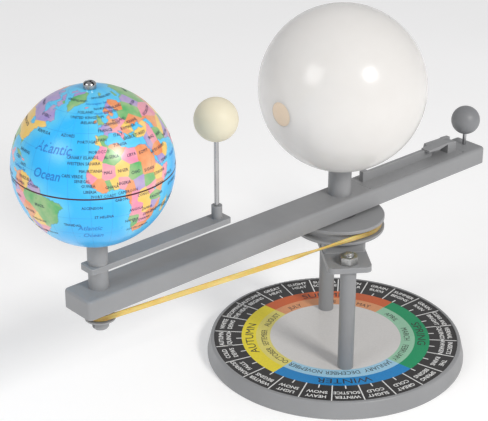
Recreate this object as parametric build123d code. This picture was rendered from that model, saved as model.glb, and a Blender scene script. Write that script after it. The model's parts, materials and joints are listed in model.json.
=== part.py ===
from build123d import *
import os
from math import asin, atan2, cos, degrees, radians, sin, sqrt

# A hand-turned Sun, Earth and Moon orrery.  Millimetres, +Z up.  The origin is the centre of
# the base's underside.  The turning arm lies along X: Earth at -X, the crank handle at +X.

# ---- General clearances ---------------------------------------------------------------------
seat_gap = 0.05          # radial gap where one fixed piece sits in another
running_gap = 0.05       # radial gap of a shaft in its bearing
thrust_gap = 0.12        # end play between a turning face and the face beside it
belt_gap = 0.3           # the band stands this far off the pulleys it wraps
lid_gap = 0.15           # gap all round the battery lid

# ---- Base and dial --------------------------------------------------------------------------
base_diameter = 130.0
base_height = 8.5
base_draft = 1.7         # how far the rim's top leans in from the foot
base_hollow = 3.8        # depth of the underside's recess
base_skirt = 2.6         # wall left round that recess
base_edge_round = 1.1
rim_width = 1.6          # lip round the dial card
rim_lip = 0.4            # lip's height over the card
rib_count = 12
rib_thickness = 1.4
rib_rise = 0.6           # ribs stop this far above the table
foot_pad_diameter = 22.0
card_thickness = 0.5

# ---- Posts and their bolts ------------------------------------------------------------------
post_pitch_radius = 29.7
post_angle = -125.0      # direction of the front post, seen from above, from +X
post_diameter = 7.8
post_length = 54.8
bolt_diameter = 5.0
bolt_hole_gap = 0.15
bolt_head_diameter = 9.0
bolt_head_height = 2.4
bolt_stick_out = 1.3     # thread left above the nut
bolt_tip_chamfer = 0.5
nut_across_flats = 8.0
nut_height = 4.0
nut_corner_cut = 0.35    # how far the chamfer cuts the nut's corners

# ---- Pulley bracket -------------------------------------------------------------------------
ear_thickness = 2.8
ear_width = 21.2
ear_overhang = 5.7       # from the post's centre to the ear's end
ear_corner = 3.0
hat_length = 38.0
hat_width = 20.5
hat_height = 5.25
hat_wall = 2.4
hat_flare = 2.0
hat_corner = 1.5
peg_diameter = 3.0
peg_height = 1.2
peg_pitch_radius = 11.5

# ---- Fixed Sun pulley and the pivot ---------------------------------------------------------
pulley_diameter = 44.8
pulley_groove_diameter = 40.2
pulley_flange = 1.85
pulley_groove_height = 3.7
pulley_flange_round = 0.5
pivot_diameter = 5.0
pivot_head_flats = 8.0
pivot_head_height = 3.5
pivot_nut_height = 2.7
pivot_stick_out = 0.2
pivot_washer_diameter = 10.0
pivot_washer_thickness = 0.6
thrust_washer_diameter = 17.0
thrust_washer_thickness = 1.53

# ---- Arm ------------------------------------------------------------------------------------
earth_axis_distance = 145.3
arm_left_overhang = 12.2     # arm beyond the Earth's axis
arm_right_length = 97.2
arm_width = 18.8
arm_height = 8.9
arm_wall = 1.8
arm_corner = 2.0
arm_edge_round = 1.5
floor_thickness = 1.4
floor_side_gap = 0.1
pivot_hub_diameter = 13.0
pivot_hub_height = 0.7
screw_diameter = 2.2
screw_head_diameter = 4.4
screw_head_height = 1.3
screw_length = 3.6
screw_boss_diameter = 5.2
screw_inset = 12.0           # first screw's distance from the Earth's axis
middle_screw_x = -40.0

# ---- Sun and its lamp -----------------------------------------------------------------------
sun_diameter = 80.0
sun_wall = 1.6
sun_post_diameter = 11.3
sun_post_bore = 8.0
sun_post_height = 14.5       # visible height between arm and Sun
sun_post_entry = 4.0         # length inside the Sun
window_diameter = 11.6
window_drop = 4.5            # degrees by which the window looks below the horizontal
window_thickness = 1.2
window_recess = 0.15
lamp_cap_diameter = 9.5
lamp_cap_height = 9.0
lamp_glass_diameter = 11.0
lamp_neck_diameter = 7.0
lamp_holder_wall = 1.2
lamp_holder_lap = 3.0        # length of lamp cap held inside the holder
wire_diameter = 0.8
wire_bend = 2.8
wire_side_gap = 0.3          # from the wire to the arm's walls
wire_turn_x = 14.0           # where the wires leave the arm's sides
wire_meet_x = 8.5            # where they run side by side
wire_rise_x = 2.2            # where they turn up into the Sun's post
wire_pair_y = 1.2            # half the distance between them there
wire_cap_entry = 0.5

# ---- Battery compartment --------------------------------------------------------------------
cell_diameter = 11.6
cell_height = 5.4
cell_step = 0.4              # height of the narrower end
cell_end_diameter = 10.2
cell_count = 2
cell_spacing = 12.6
first_cell_x = 45.0
cell_pocket_gap = 0.2
cell_fence_wall = 0.9
cell_fence_height = 2.5
cell_fence_width = 11.0
contact_thickness = 0.3
contact_width = 3.6
contact_strip_width = 2.4
contact_reach = 1.6          # strip's length beyond the cell's edge
contact_tab = 1.1            # height of the soldering tab
contact_tab_lap = 0.4        # tab's length beyond the wire's centre
bridge_overlap = 3.0         # bridge strip's length beyond the cells' centres
lid_left_x = 14.5
lid_right_x = 83.2
lid_side_margin = 2.6        # from the arm's side to the lid's edge
lid_thickness = 1.3
lid_ledge = 0.8
lid_corner = 1.2
tab_left_x = 17.2            # finger tab
tab_length = 3.5
tab_width = 2.6
tab_height = 5.4
rib_low_y = 0.9              # near side of the tab and the rib
rib_width = 2.0
rib_height = 4.5
wall_low_y = 2.8             # near side of the stop wall
wall_left_x = 65.0           # stop wall behind the latch
wall_width = 2.2
wall_end_inset = 0.2
wall_low_height = 5.6
wall_high_height = 6.0
wall_step_x = 77.2
wall_step_length = 1.2
latch_left_x = 61.5          # free end of the latch's lever
latch_leg_x = 75.6           # leg that joins the lever to the lid
latch_right_x = 81.8
latch_low_y = -2.6
latch_thickness = 0.8
latch_left_height = 5.2
latch_ridge_height = 5.9
latch_right_height = 4.9
latch_belly_x = 69.6         # thickest place of the lever
latch_belly_height = 3.9
latch_lap = 0.1              # overlap of the lever with the rib and the wall
lid_root = 0.3               # raised features start this far inside the lid

# ---- Crank handle ---------------------------------------------------------------------------
handle_x = 91.3
handle_rod_diameter = 2.0
handle_ball_diameter = 14.8
handle_ball_height = 13.6    # ball's centre above the arm
handle_boss_diameter = 6.0
handle_rod_depth = 4.0

# ---- Earth spindle --------------------------------------------------------------------------
earth_bearing_diameter = 8.8
earth_bearing_height = 8.9   # above the arm
spindle_diameter = 6.0
small_groove_diameter = 10.0
small_flange_diameter = 13.6
small_lower_flange = 0.9
small_groove_height = 3.4
small_upper_flange = 2.0
snap_boss_diameter = 7.4
snap_boss_height = 4.6
snap_slot_width = 1.2
earth_collar_diameter = 9.0
earth_collar_height = 11.1
spindle_entry = 6.0          # spindle's length inside the globe
globe_diameter = 68.4
globe_wall = 1.3
globe_lap_height = 2.2
globe_lap_thickness = 0.9
axle_diameter = 3.0
axle_depth = 8.0
cap_diameter = 5.4
cap_height = 2.8
cap_bore_depth = 1.3
cap_slot_width = 0.9
cap_slot_depth = 1.1

# ---- Moon arm -------------------------------------------------------------------------------
moon_arm_width = 9.0
moon_arm_thickness = 2.6
moon_arm_overhang = 6.2      # beyond the Earth's axis
moon_arm_tip = 5.0           # beyond the Moon's rod
moon_arm_corner = 1.2
moon_orbit_radius = 66.9
moon_boss_diameter = 5.0
moon_boss_height = 6.2
moon_rod_diameter = 2.2
moon_rod_entry = 4.0
moon_diameter = 20.0
moon_height = 47.8           # Moon's centre above the moon arm's top

# ---- Rubber band ----------------------------------------------------------------------------
belt_width = 2.6
belt_thickness = 1.0

# ---- Levels and places that follow from the sizes above ---------------------------------------
base_radius = base_diameter / 2
card_top = base_height - rim_lip
card_bottom = card_top - card_thickness
card_radius = base_radius - base_draft - rim_width
post_bottom = card_bottom
post_top = post_bottom + post_length
bolt_radius = bolt_diameter / 2
bolt_hole_radius = bolt_radius + bolt_hole_gap
ear_top = post_top + ear_thickness
hat_top = ear_top + hat_height
pulley_bottom = hat_top
groove_bottom = pulley_bottom + pulley_flange
groove_top = groove_bottom + pulley_groove_height
pulley_top = groove_top + pulley_flange
arm_bottom = pulley_top + thrust_washer_thickness + thrust_gap
arm_top = arm_bottom + arm_height
arm_inner_top = arm_top - arm_wall
floor_top = arm_bottom + floor_thickness
hub_top = floor_top + pivot_hub_height
arm_left_x = -(earth_axis_distance + arm_left_overhang)
earth_x = -earth_axis_distance
sun_radius = sun_diameter / 2
sun_bottom = arm_top + sun_post_height
sun_center_z = sun_bottom + sun_radius
lid_half_width = arm_width / 2 - lid_side_margin
lid_bottom = arm_top - lid_thickness
cell_bottom = floor_top + contact_thickness
cell_top = cell_bottom + cell_height
last_cell_x = first_cell_x + (cell_count - 1) * cell_spacing
wire_z = arm_inner_top - wire_diameter / 2 - wire_side_gap
wire_side_y = arm_width / 2 - arm_wall - wire_diameter / 2 - wire_side_gap
bearing_top = arm_top + earth_bearing_height
moon_arm_bottom = bearing_top + thrust_gap
moon_arm_top = moon_arm_bottom + moon_arm_thickness
collar_bottom = moon_arm_top + thrust_gap
globe_radius = globe_diameter / 2
globe_center_z = collar_bottom + earth_collar_height + globe_radius
small_pulley_top = arm_bottom - thrust_gap
small_groove_top = small_pulley_top - small_upper_flange
small_groove_bottom = small_groove_top - small_groove_height
snap_boss_top = small_groove_bottom - small_lower_flange
spindle_bottom = snap_boss_top - snap_boss_height
moon_x = earth_x + moon_orbit_radius
moon_center_z = moon_arm_top + moon_height
handle_ball_z = arm_top + handle_ball_height
screw_places = [earth_x + screw_inset, middle_screw_x, handle_x]
post_places = [post_angle, post_angle + 180.0]


# ---- Helpers --------------------------------------------------------------------------------
def disc(radius, low, high, x=0.0, y=0.0):
    """Upright cylinder between two heights."""
    shape = Cylinder(radius, high - low, align=(Align.CENTER, Align.CENTER, Align.MIN))
    return Pos(x, y, low) * shape


def tube(radius, bore, low, high, x=0.0, y=0.0):
    """Upright tube between two heights."""
    return disc(radius, low, high, x, y) - disc(bore, low - 1.0, high + 1.0, x, y)


def block(x_range, y_range, z_range):
    """Box given by its lowest and highest coordinates."""
    size = [high - low for low, high in (x_range, y_range, z_range)]
    middle = [(high + low) / 2 for low, high in (x_range, y_range, z_range)]
    return Pos(*middle) * Box(*size)


def hexagon(across_flats, low, high, x=0.0, y=0.0, turn=0.0):
    """Upright hexagonal prism with a corner in the direction given by turn."""
    outline = RegularPolygon(across_flats / 2, 6, major_radius=False)
    return Pos(x, y, low) * (Rot(0, 0, turn) * extrude(outline, high - low))


def turned(points):
    """Solid of revolution about Z from (radius, height) points."""
    return revolve(Plane.XZ * make_face(Polyline(*points, close=True)), Axis.Z, 360)


def polar(radius, angle):
    """Point on a circle round Z."""
    return (radius * cos(radians(angle)), radius * sin(radians(angle)))


def at_posts(make):
    """The two copies of a small piece, one at each post."""
    pieces = []
    for angle in post_places:
        x, y = polar(post_pitch_radius, angle)
        pieces.append(make(x, y))
    return Compound(children=pieces)


def sphere_profile(outer, inner, low_hole, high_hole):
    """Half section of a hollow ball with a hole of the given radius at each pole (0: closed)."""
    def height(radius, hole):
        return sqrt(radius ** 2 - hole ** 2)
    top_out = (high_hole, height(outer, high_hole))
    top_in = (high_hole, height(inner, high_hole))
    low_out = (low_hole, -height(outer, low_hole))
    low_in = (low_hole, -height(inner, low_hole))
    lines = [ThreePointArc(low_out, (outer, 0), top_out), Line(top_out, top_in)]
    lines += [ThreePointArc(top_in, (inner, 0), low_in), Line(low_in, low_out)]
    return make_face(Wire(lines))


def hollow_ball(outer, inner, center_z, low_hole, high_hole):
    """Hollow ball turned from its half section."""
    face = Plane.XZ * sphere_profile(outer, inner, low_hole, high_hole)
    return Pos(0, 0, center_z) * revolve(face, Axis.Z, 360)


# ---- Base -----------------------------------------------------------------------------------
def base_shell():
    """Moulded round foot with a shallow ribbed recess below and a seat for the dial above."""
    top_radius = base_radius - base_draft
    body = turned([(0, 0), (base_radius, 0), (base_radius, 1.5), (top_radius, base_height), (0, base_height)])
    rim = body.edges().filter_by_position(Axis.Z, base_height - 0.01, base_height + 0.01)
    body = fillet(rim, min(base_edge_round, 0.7 * rim_width))
    body -= disc(card_radius + seat_gap, card_bottom, base_height + 1.0)
    recess = tube(base_radius - base_skirt, foot_pad_diameter / 2, -1.0, base_hollow)
    body -= recess
    rib_length = base_radius - base_skirt - foot_pad_diameter / 2 + 2.0
    rib_middle = (base_radius - base_skirt + foot_pad_diameter / 2) / 2
    for number in range(rib_count):
        angle = post_angle + (number + 0.5) * 360.0 / rib_count
        rib = Pos(rib_middle, 0, (rib_rise + base_hollow) / 2 + 0.1)
        rib *= Box(rib_length, rib_thickness, base_hollow - rib_rise + 0.2)
        body += Rot(0, 0, angle) * rib
    for angle in post_places:
        x, y = polar(post_pitch_radius, angle)
        body -= disc(bolt_hole_radius, -1.0, base_height, x, y)
    return body


def dial_card():
    """Printed disc with two holes that the posts pass through."""
    card = disc(card_radius, card_bottom, card_top)
    for angle in post_places:
        x, y = polar(post_pitch_radius, angle)
        card -= disc(post_diameter / 2 + seat_gap, card_bottom - 1.0, card_top + 1.0, x, y)
    return card


def post(angle):
    """Plastic spacer tube that a long bolt passes through."""
    x, y = polar(post_pitch_radius, angle)
    return tube(post_diameter / 2, bolt_hole_radius, post_bottom, post_top, x, y)


def post_bolt(x, y):
    """Long bolt with a low round head below the base's plate."""
    head = disc(bolt_head_diameter / 2, base_hollow - bolt_head_height, base_hollow, x, y)
    head = fillet(head.edges().group_by(Axis.Z)[0], 0.8)
    shank = disc(bolt_radius, base_hollow - 0.5, ear_top + nut_height + bolt_stick_out, x, y)
    shank = chamfer(shank.edges().group_by(Axis.Z)[-1], bolt_tip_chamfer)
    slot = block((x - 5, x + 5), (y - 0.5, y + 0.5), (0, base_hollow - bolt_head_height + 1.0))
    return head + shank - slot


def post_nut(x, y):
    """Hexagon nut with chamfered corners."""
    nut = hexagon(nut_across_flats, ear_top, ear_top + nut_height, x, y, post_angle)
    corner_round = nut_across_flats / sqrt(3) - nut_corner_cut
    chamfered = disc(corner_round + nut_height / 2, ear_top, ear_top + nut_height, x, y)
    chamfered = chamfer(chamfered.edges().group_by(Axis.Z)[-1], nut_height / 2)
    nut = nut & chamfered
    return nut - disc(bolt_radius + 0.02, ear_top - 1.0, ear_top + nut_height + 1.0, x, y)


def pulley_bracket():
    """Two bolted ears with a hollow raised block between them, which carries the fixed pulley."""
    reach = post_pitch_radius + ear_overhang
    outline = RectangleRounded(2 * reach, ear_width, ear_corner)
    body = Pos(0, 0, post_top) * extrude(outline, ear_thickness)
    hat = RectangleRounded(hat_length, hat_width, hat_corner)
    body += Pos(0, 0, ear_top - 0.5) * extrude(hat, hat_height + 0.5)
    foot = [
        edge for edge in body.edges()
        if abs(edge.center().Z - ear_top) < 0.01
        and abs(edge.center().X) < hat_length / 2 + 0.01
        and abs(edge.center().Y) < hat_width / 2 + 0.01
    ]
    shoulder = (ear_width - hat_width) / 2
    body = fillet(foot, min(hat_flare, 0.9 * shoulder))
    inner = Box(hat_length - 2 * hat_wall, hat_width - 2 * hat_wall, hat_top - hat_wall - post_top + 1.0)
    body -= Pos(0, 0, (hat_top - hat_wall + post_top - 1.0) / 2) * inner
    for side in (-1, 1):
        body += disc(peg_diameter / 2, hat_top - 0.5, hat_top + peg_height, side * peg_pitch_radius)
        body -= disc(bolt_hole_radius, post_top - 1.0, ear_top + 1.0, side * post_pitch_radius)
    body -= disc(pivot_diameter / 2 + seat_gap, ear_top, hat_top + 1.0)
    return Rot(0, 0, post_angle) * body


def sun_pulley():
    """Grooved wheel that stays still while the arm goes round it."""
    rim = pulley_diameter / 2
    groove = pulley_groove_diameter / 2
    wheel = turned([
        (0, pulley_bottom), (rim, pulley_bottom), (rim, groove_bottom - 0.3), (groove, groove_bottom),
        (groove, groove_top), (rim, groove_top + 0.3), (rim, pulley_top), (0, pulley_top),
    ])
    edges = wheel.edges().group_by(Axis.Z)
    wheel = fillet(edges[-1] + edges[0], pulley_flange_round)
    wheel -= disc(pivot_diameter / 2 + seat_gap, pulley_bottom - 1.0, pulley_top + 1.0)
    for side in (-1, 1):
        peg_hole = disc(peg_diameter / 2 + seat_gap, pulley_bottom - 1.0, pulley_bottom + peg_height + 0.3)
        wheel -= Rot(0, 0, post_angle) * (Pos(side * peg_pitch_radius, 0, 0) * peg_hole)
    return wheel


def thrust_washer():
    """Flat slippery ring between the pulley and the arm."""
    top = pulley_top + thrust_washer_thickness
    return tube(thrust_washer_diameter / 2, pivot_diameter / 2 + seat_gap, pulley_top, top)


def pivot_bolt():
    """Bolt that the arm turns on, its head inside the bracket."""
    head_top = hat_top - hat_wall
    head = hexagon(pivot_head_flats, head_top - pivot_head_height, head_top)
    end = hub_top + thrust_gap + pivot_washer_thickness + pivot_nut_height + pivot_stick_out
    return head + disc(pivot_diameter / 2, head_top - 0.5, end)


def pivot_washer():
    """Steel ring above the arm's hub."""
    low = hub_top + thrust_gap
    return tube(pivot_washer_diameter / 2, pivot_diameter / 2 + 0.02, low, low + pivot_washer_thickness)


def pivot_locknut():
    """Thin nut that keeps the arm on its pivot."""
    low = hub_top + thrust_gap + pivot_washer_thickness
    nut = hexagon(pivot_head_flats, low, low + pivot_nut_height)
    return nut - disc(pivot_diameter / 2 + 0.02, low - 1.0, low + pivot_nut_height + 1.0)


# ---- Arm ------------------------------------------------------------------------------------
def arm_beam():
    """Inverted channel with closed ends, bosses for screws and the battery opening in its top."""
    length = arm_right_length - arm_left_x
    middle_x = (arm_right_length + arm_left_x) / 2
    outline = RectangleRounded(length, arm_width, arm_corner)
    body = Pos(middle_x, 0, arm_bottom) * extrude(outline, arm_height)
    body = fillet(body.edges().group_by(Axis.Z)[-1], arm_edge_round)
    inner_y = arm_width / 2 - arm_wall
    body -= block((arm_left_x + arm_wall, arm_right_length - arm_wall), (-inner_y, inner_y),
                  (arm_bottom - 1.0, arm_inner_top))
    for x in screw_places:
        radius = (handle_boss_diameter if x == handle_x else screw_boss_diameter) / 2
        body += disc(radius, floor_top, arm_inner_top + 0.5, x)
        body -= disc(screw_diameter / 2 + 0.02, floor_top - 1.0, floor_top + screw_length - 1.2, x)
    body -= disc(handle_rod_diameter / 2 + 0.02, arm_top - handle_rod_depth, arm_top + 1.0, handle_x)
    body -= disc(earth_bearing_diameter / 2 + seat_gap, arm_bottom - 1.0, arm_top + 1.0, earth_x)
    body -= disc(sun_post_bore / 2 + 0.2, arm_inner_top - 1.0, arm_top + 1.0)
    recess_y = lid_half_width + lid_gap
    body -= block((lid_left_x - lid_gap, lid_right_x + lid_gap), (-recess_y, recess_y),
                  (lid_bottom, arm_top + 1.0))
    open_y = recess_y - lid_ledge
    body -= block((lid_left_x + lid_ledge, lid_right_x - lid_ledge), (-open_y, open_y),
                  (arm_inner_top - 1.0, arm_top))
    return body


def arm_floor():
    """Bottom plate of the arm with the pivot's hub and the fences round the battery cells."""
    inner_y = arm_width / 2 - arm_wall - floor_side_gap
    plate = block((arm_left_x + arm_wall + floor_side_gap, arm_right_length - arm_wall - floor_side_gap),
                  (-inner_y, inner_y), (arm_bottom, floor_top))
    plate += disc(pivot_hub_diameter / 2, arm_bottom, hub_top)
    plate -= disc(pivot_diameter / 2 + running_gap, arm_bottom - 1.0, hub_top + 1.0)
    plate -= disc(earth_bearing_diameter / 2 + seat_gap, arm_bottom - 1.0, floor_top + 1.0, earth_x)
    for x in screw_places:
        plate -= disc(screw_diameter / 2 + 0.1, arm_bottom - 1.0, floor_top + 1.0, x)
    pocket = cell_diameter / 2 + cell_pocket_gap
    fence_top = floor_top + cell_fence_height
    cells_x = [first_cell_x + number * cell_spacing for number in range(cell_count)]
    fences = [disc(pocket + cell_fence_wall, floor_top - 0.5, fence_top, x) for x in cells_x]
    reach = pocket + cell_fence_wall + 1.0
    strip = block((cells_x[0] - reach, cells_x[-1] + reach), (-cell_fence_width / 2, cell_fence_width / 2),
                  (floor_top - 0.5, fence_top))
    fence = fences[0]
    for other in fences[1:]:
        fence += other
    plate += fence & strip
    for x in cells_x:
        plate -= disc(pocket, floor_top, fence_top + 1.0, x)
    slot_y = contact_width / 2 + 0.3
    plate -= block((cells_x[0], cells_x[-1]), (-slot_y, slot_y), (floor_top, fence_top + 1.0))
    return plate


def floor_screw(x):
    """Round-headed self-tapping screw through the floor plate."""
    head = disc(screw_head_diameter / 2, arm_bottom - screw_head_height, arm_bottom, x)
    head = fillet(head.edges().group_by(Axis.Z)[0], 0.6)
    shank = disc(screw_diameter / 2, arm_bottom - 0.5, arm_bottom + screw_length, x)
    low = arm_bottom - screw_head_height
    cross = block((x - 1.3, x + 1.3), (-0.3, 0.3), (low - 1.0, low + 0.6))
    cross += block((x - 0.3, x + 0.3), (-1.3, 1.3), (low - 1.0, low + 0.6))
    return head + shank - cross


def earth_bearing():
    """Tube fixed in the arm that the Earth's spindle turns in."""
    bore = spindle_diameter / 2 + running_gap
    return tube(earth_bearing_diameter / 2, bore, arm_bottom, bearing_top, earth_x)


def handle_rod():
    """Steel pin up from the arm's end."""
    top = handle_ball_z + 2.0
    return disc(handle_rod_diameter / 2, arm_top - handle_rod_depth + 0.1, top, handle_x)


def handle_ball():
    """Ball knob pressed on the pin."""
    ball = Pos(handle_x, 0, handle_ball_z) * Sphere(handle_ball_diameter / 2)
    low = handle_ball_z - handle_ball_diameter
    return ball - disc(handle_rod_diameter / 2 + 0.02, low, handle_ball_z + 2.1, handle_x)


# ---- Battery compartment --------------------------------------------------------------------
def battery_cell(x):
    """Button cell lying flat."""
    body = disc(cell_diameter / 2, cell_bottom + cell_step, cell_top, x)
    return body + disc(cell_end_diameter / 2, cell_bottom, cell_top - 0.5, x)


def battery_contacts():
    """Bridge strip below the cells and one sprung strip with a soldering tab at each end."""
    half = contact_width / 2
    bridge_ends = (first_cell_x - bridge_overlap, last_cell_x + bridge_overlap)
    strips = [block(bridge_ends, (-half, half), (floor_top, cell_bottom))]
    strip_half = contact_strip_width / 2
    strip_top = cell_top + contact_thickness
    tab_low = wire_z - contact_tab / 2
    for x, side in ((first_cell_x, -1), (last_cell_x, 1)):
        end = x + side * (cell_diameter / 2 + contact_reach)
        near = end - side * contact_thickness
        tab_end = side * (wire_side_y + contact_tab_lap)
        strip = block(sorted((x, end)), (-strip_half, strip_half), (cell_top, strip_top))
        strip += block(sorted((near, end)), (-strip_half, strip_half), (tab_low, strip_top))
        strip += block(sorted((near, end)), sorted((0, tab_end)), (tab_low, tab_low + contact_tab))
        strips.append(strip)
    return Compound(children=strips)


def lamp_wire(side):
    """Insulated wire from a contact, along the channel and up through the Sun's post."""
    reach = cell_diameter / 2 + contact_reach
    start_x = first_cell_x - reach if side < 0 else last_cell_x + reach - contact_thickness
    y_side = side * wire_side_y
    y_pair = side * wire_pair_y
    top = sun_center_z - lamp_glass_diameter / 2 - lamp_cap_height + wire_cap_entry
    points = [(start_x, y_side, wire_z), (wire_turn_x, y_side, wire_z), (wire_meet_x, y_pair, wire_z)]
    points += [(wire_rise_x, y_pair, wire_z), (wire_rise_x, y_pair, top)]
    path = FilletPolyline(*points, radius=wire_bend)
    section = Plane(origin=points[0], z_dir=(-1, 0, 0)) * Circle(wire_diameter / 2)
    return sweep(section, path=path)


def side_view(points, low_y, high_y):
    """Prism across the arm from (x, height above the arm) points."""
    outline = Polyline(*[(x, arm_top + height) for x, height in points], close=True)
    prism = extrude(Plane.XZ * make_face(outline), -(high_y - low_y))
    return Pos(0, low_y, 0) * prism


def battery_cover():
    """Lift-off lid with a finger tab, a stiffening rib, a stop wall and a springy latch lever."""
    length = lid_right_x - lid_left_x
    outline = RectangleRounded(length, 2 * lid_half_width, min(lid_corner, 0.3 * lid_half_width))
    plate = Pos((lid_left_x + lid_right_x) / 2, 0, lid_bottom) * extrude(outline, lid_thickness)
    root = arm_top - lid_root
    tab_right_x = tab_left_x + tab_length
    tab = block((tab_left_x, tab_right_x), (rib_low_y, rib_low_y + tab_width), (root, arm_top + tab_height))
    rib = block((tab_right_x - latch_lap, wall_left_x + wall_width), (rib_low_y, rib_low_y + rib_width),
                (root, arm_top + rib_height))
    wall_right_x = lid_right_x - wall_end_inset
    wall = side_view([
        (wall_left_x, -lid_root), (wall_left_x, 0.6 * wall_high_height),
        (wall_left_x + 0.3 * wall_width, wall_high_height), (wall_step_x, wall_low_height),
        (wall_step_x + wall_step_length, wall_high_height), (wall_right_x, wall_low_height),
        (wall_right_x, -lid_root),
    ], wall_low_y, wall_low_y + wall_width)
    lever = side_view([
        (latch_left_x, latch_left_height), (latch_leg_x, latch_ridge_height),
        (latch_right_x, latch_right_height), (latch_right_x, -lid_root), (latch_leg_x, -lid_root),
        (latch_leg_x, latch_ridge_height - latch_thickness), (latch_belly_x, latch_belly_height),
        (latch_left_x, latch_left_height - latch_thickness),
    ], latch_low_y, wall_low_y + latch_lap)
    return plate + tab + rib + wall + lever


# ---- Sun ------------------------------------------------------------------------------------
def sun_post():
    """Hollow post that carries the Sun and leads the wires up."""
    return tube(sun_post_diameter / 2, sun_post_bore / 2, arm_top, sun_bottom + sun_post_entry)


def sun_globe():
    """Hollow ball with a neck hole below and a round window hole on the Earth's side."""
    neck = sun_post_diameter / 2 + seat_gap
    ball = hollow_ball(sun_radius, sun_radius - sun_wall, sun_center_z, neck, 0)
    return ball - window_cylinder(window_diameter / 2 + seat_gap)


def window_cylinder(radius):
    """Short cylinder through the Sun's wall, facing the Earth and a little down."""
    drum = Pos(0, 0, sun_radius - sun_wall) * Cylinder(radius, 3 * sun_wall + 4.0)
    return Pos(0, 0, sun_center_z) * (Rot(0, -90 - window_drop, 0) * drum)


def sun_window():
    """Curved translucent disc in the Sun's window hole."""
    outer = sun_radius - window_recess
    shell = hollow_ball(outer, outer - window_thickness, sun_center_z, 1.0, 0)
    return shell & window_cylinder(window_diameter / 2)


def lamp_holder():
    """Socket tube on top of the post, inside the Sun."""
    low = sun_bottom + sun_post_entry
    cap_low = sun_center_z - lamp_glass_diameter / 2 - lamp_cap_height + 1.0
    outer = lamp_cap_diameter / 2 + lamp_holder_wall
    socket = tube(outer, lamp_cap_diameter / 2 + seat_gap, cap_low, cap_low + lamp_holder_lap)
    return tube(outer, sun_post_bore / 2, low, cap_low) + socket


def lamp_cap():
    """Metal screw shell of the lamp."""
    low = sun_center_z - lamp_glass_diameter / 2 - lamp_cap_height + 1.0
    return tube(lamp_cap_diameter / 2, lamp_neck_diameter / 2, low, low + lamp_cap_height)


def lamp_glass():
    """Small glass bulb at the Sun's centre."""
    ball = Pos(0, 0, sun_center_z) * Sphere(lamp_glass_diameter / 2)
    neck_low = sun_center_z - lamp_glass_diameter / 2 - 2.0
    bulb = ball + disc(lamp_neck_diameter / 2, neck_low, sun_center_z)
    cap_top = sun_center_z - lamp_glass_diameter / 2 + 1.0
    shelf = tube(lamp_cap_diameter, lamp_neck_diameter / 2, neck_low - 1.0, cap_top)
    return bulb - shelf


# ---- Earth spindle ---------------------------------------------------------------------------
def snap_slot():
    """Slot that splits the spindle's lower end."""
    half = snap_slot_width / 2
    reach = small_flange_diameter
    return block((earth_x - reach, earth_x + reach), (-half, half),
                 (spindle_bottom - 1.0, snap_boss_top - 0.6))


def earth_shaft():
    """Plastic spindle from the pulley up into the globe, drilled above for the steel axle."""
    top = globe_center_z - globe_radius + spindle_entry
    shaft = disc(spindle_diameter / 2, spindle_bottom, top, earth_x)
    shaft -= disc(axle_diameter / 2 + 0.02, top - axle_depth, top + 1.0, earth_x)
    return shaft - snap_slot()


def earth_pulley():
    """Small grooved wheel with a split boss below it."""
    rim = small_flange_diameter / 2
    groove = small_groove_diameter / 2
    boss = snap_boss_diameter / 2
    wheel = turned([
        (0, spindle_bottom), (boss - 0.5, spindle_bottom), (boss, spindle_bottom + 0.8),
        (boss, snap_boss_top), (rim, snap_boss_top), (rim, small_groove_bottom - 0.2),
        (groove, small_groove_bottom),
        (groove, small_groove_top), (rim, small_groove_top + 0.2), (rim, small_pulley_top - 0.6),
        (rim - 0.6, small_pulley_top), (0, small_pulley_top),
    ])
    wheel = Pos(earth_x, 0, 0) * wheel
    wheel -= disc(spindle_diameter / 2 + 0.02, spindle_bottom - 1.0, small_pulley_top + 1.0, earth_x)
    return wheel - snap_slot()


def earth_collar():
    """Sleeve between the moon arm and the globe, hollowed to the globe's curve."""
    top = globe_center_z - globe_radius + 1.0
    sleeve = tube(earth_collar_diameter / 2, spindle_diameter / 2 + 0.02, collar_bottom, top, earth_x)
    return sleeve - Pos(earth_x, 0, globe_center_z) * Sphere(globe_radius + 0.02)


def globe_half(sign):
    """One half shell of the globe: +1 north, -1 south, which also has the inner lap ring."""
    inner = globe_radius - globe_wall
    low_hole = spindle_diameter / 2 + seat_gap
    high_hole = axle_diameter / 2 + seat_gap
    shell = hollow_ball(globe_radius, inner, globe_center_z, low_hole, high_hole)
    reach = 2 * globe_radius
    if sign > 0:
        keep = block((-reach, reach), (-reach, reach), (globe_center_z, globe_center_z + reach))
        return Pos(earth_x, 0, 0) * (shell & keep)
    keep = block((-reach, reach), (-reach, reach), (globe_center_z - reach, globe_center_z))
    half = shell & keep
    lap_out = sqrt(inner ** 2 - globe_lap_height ** 2) - 0.03
    lap_low = globe_center_z - globe_lap_height
    lap = tube(lap_out, lap_out - globe_lap_thickness, lap_low, globe_center_z + globe_lap_height)
    root = tube(inner + 0.3, lap_out - globe_lap_thickness, lap_low, globe_center_z - 0.2)
    root &= Pos(0, 0, globe_center_z) * Sphere(inner + 0.3)
    return Pos(earth_x, 0, 0) * (half + lap + root)


def globe_axle():
    """Steel rod from the spindle to the north pole."""
    low = globe_center_z - globe_radius + spindle_entry - axle_depth + 0.1
    high = globe_center_z + globe_radius + cap_bore_depth - 0.1
    return disc(axle_diameter / 2, low, high, earth_x)


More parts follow.
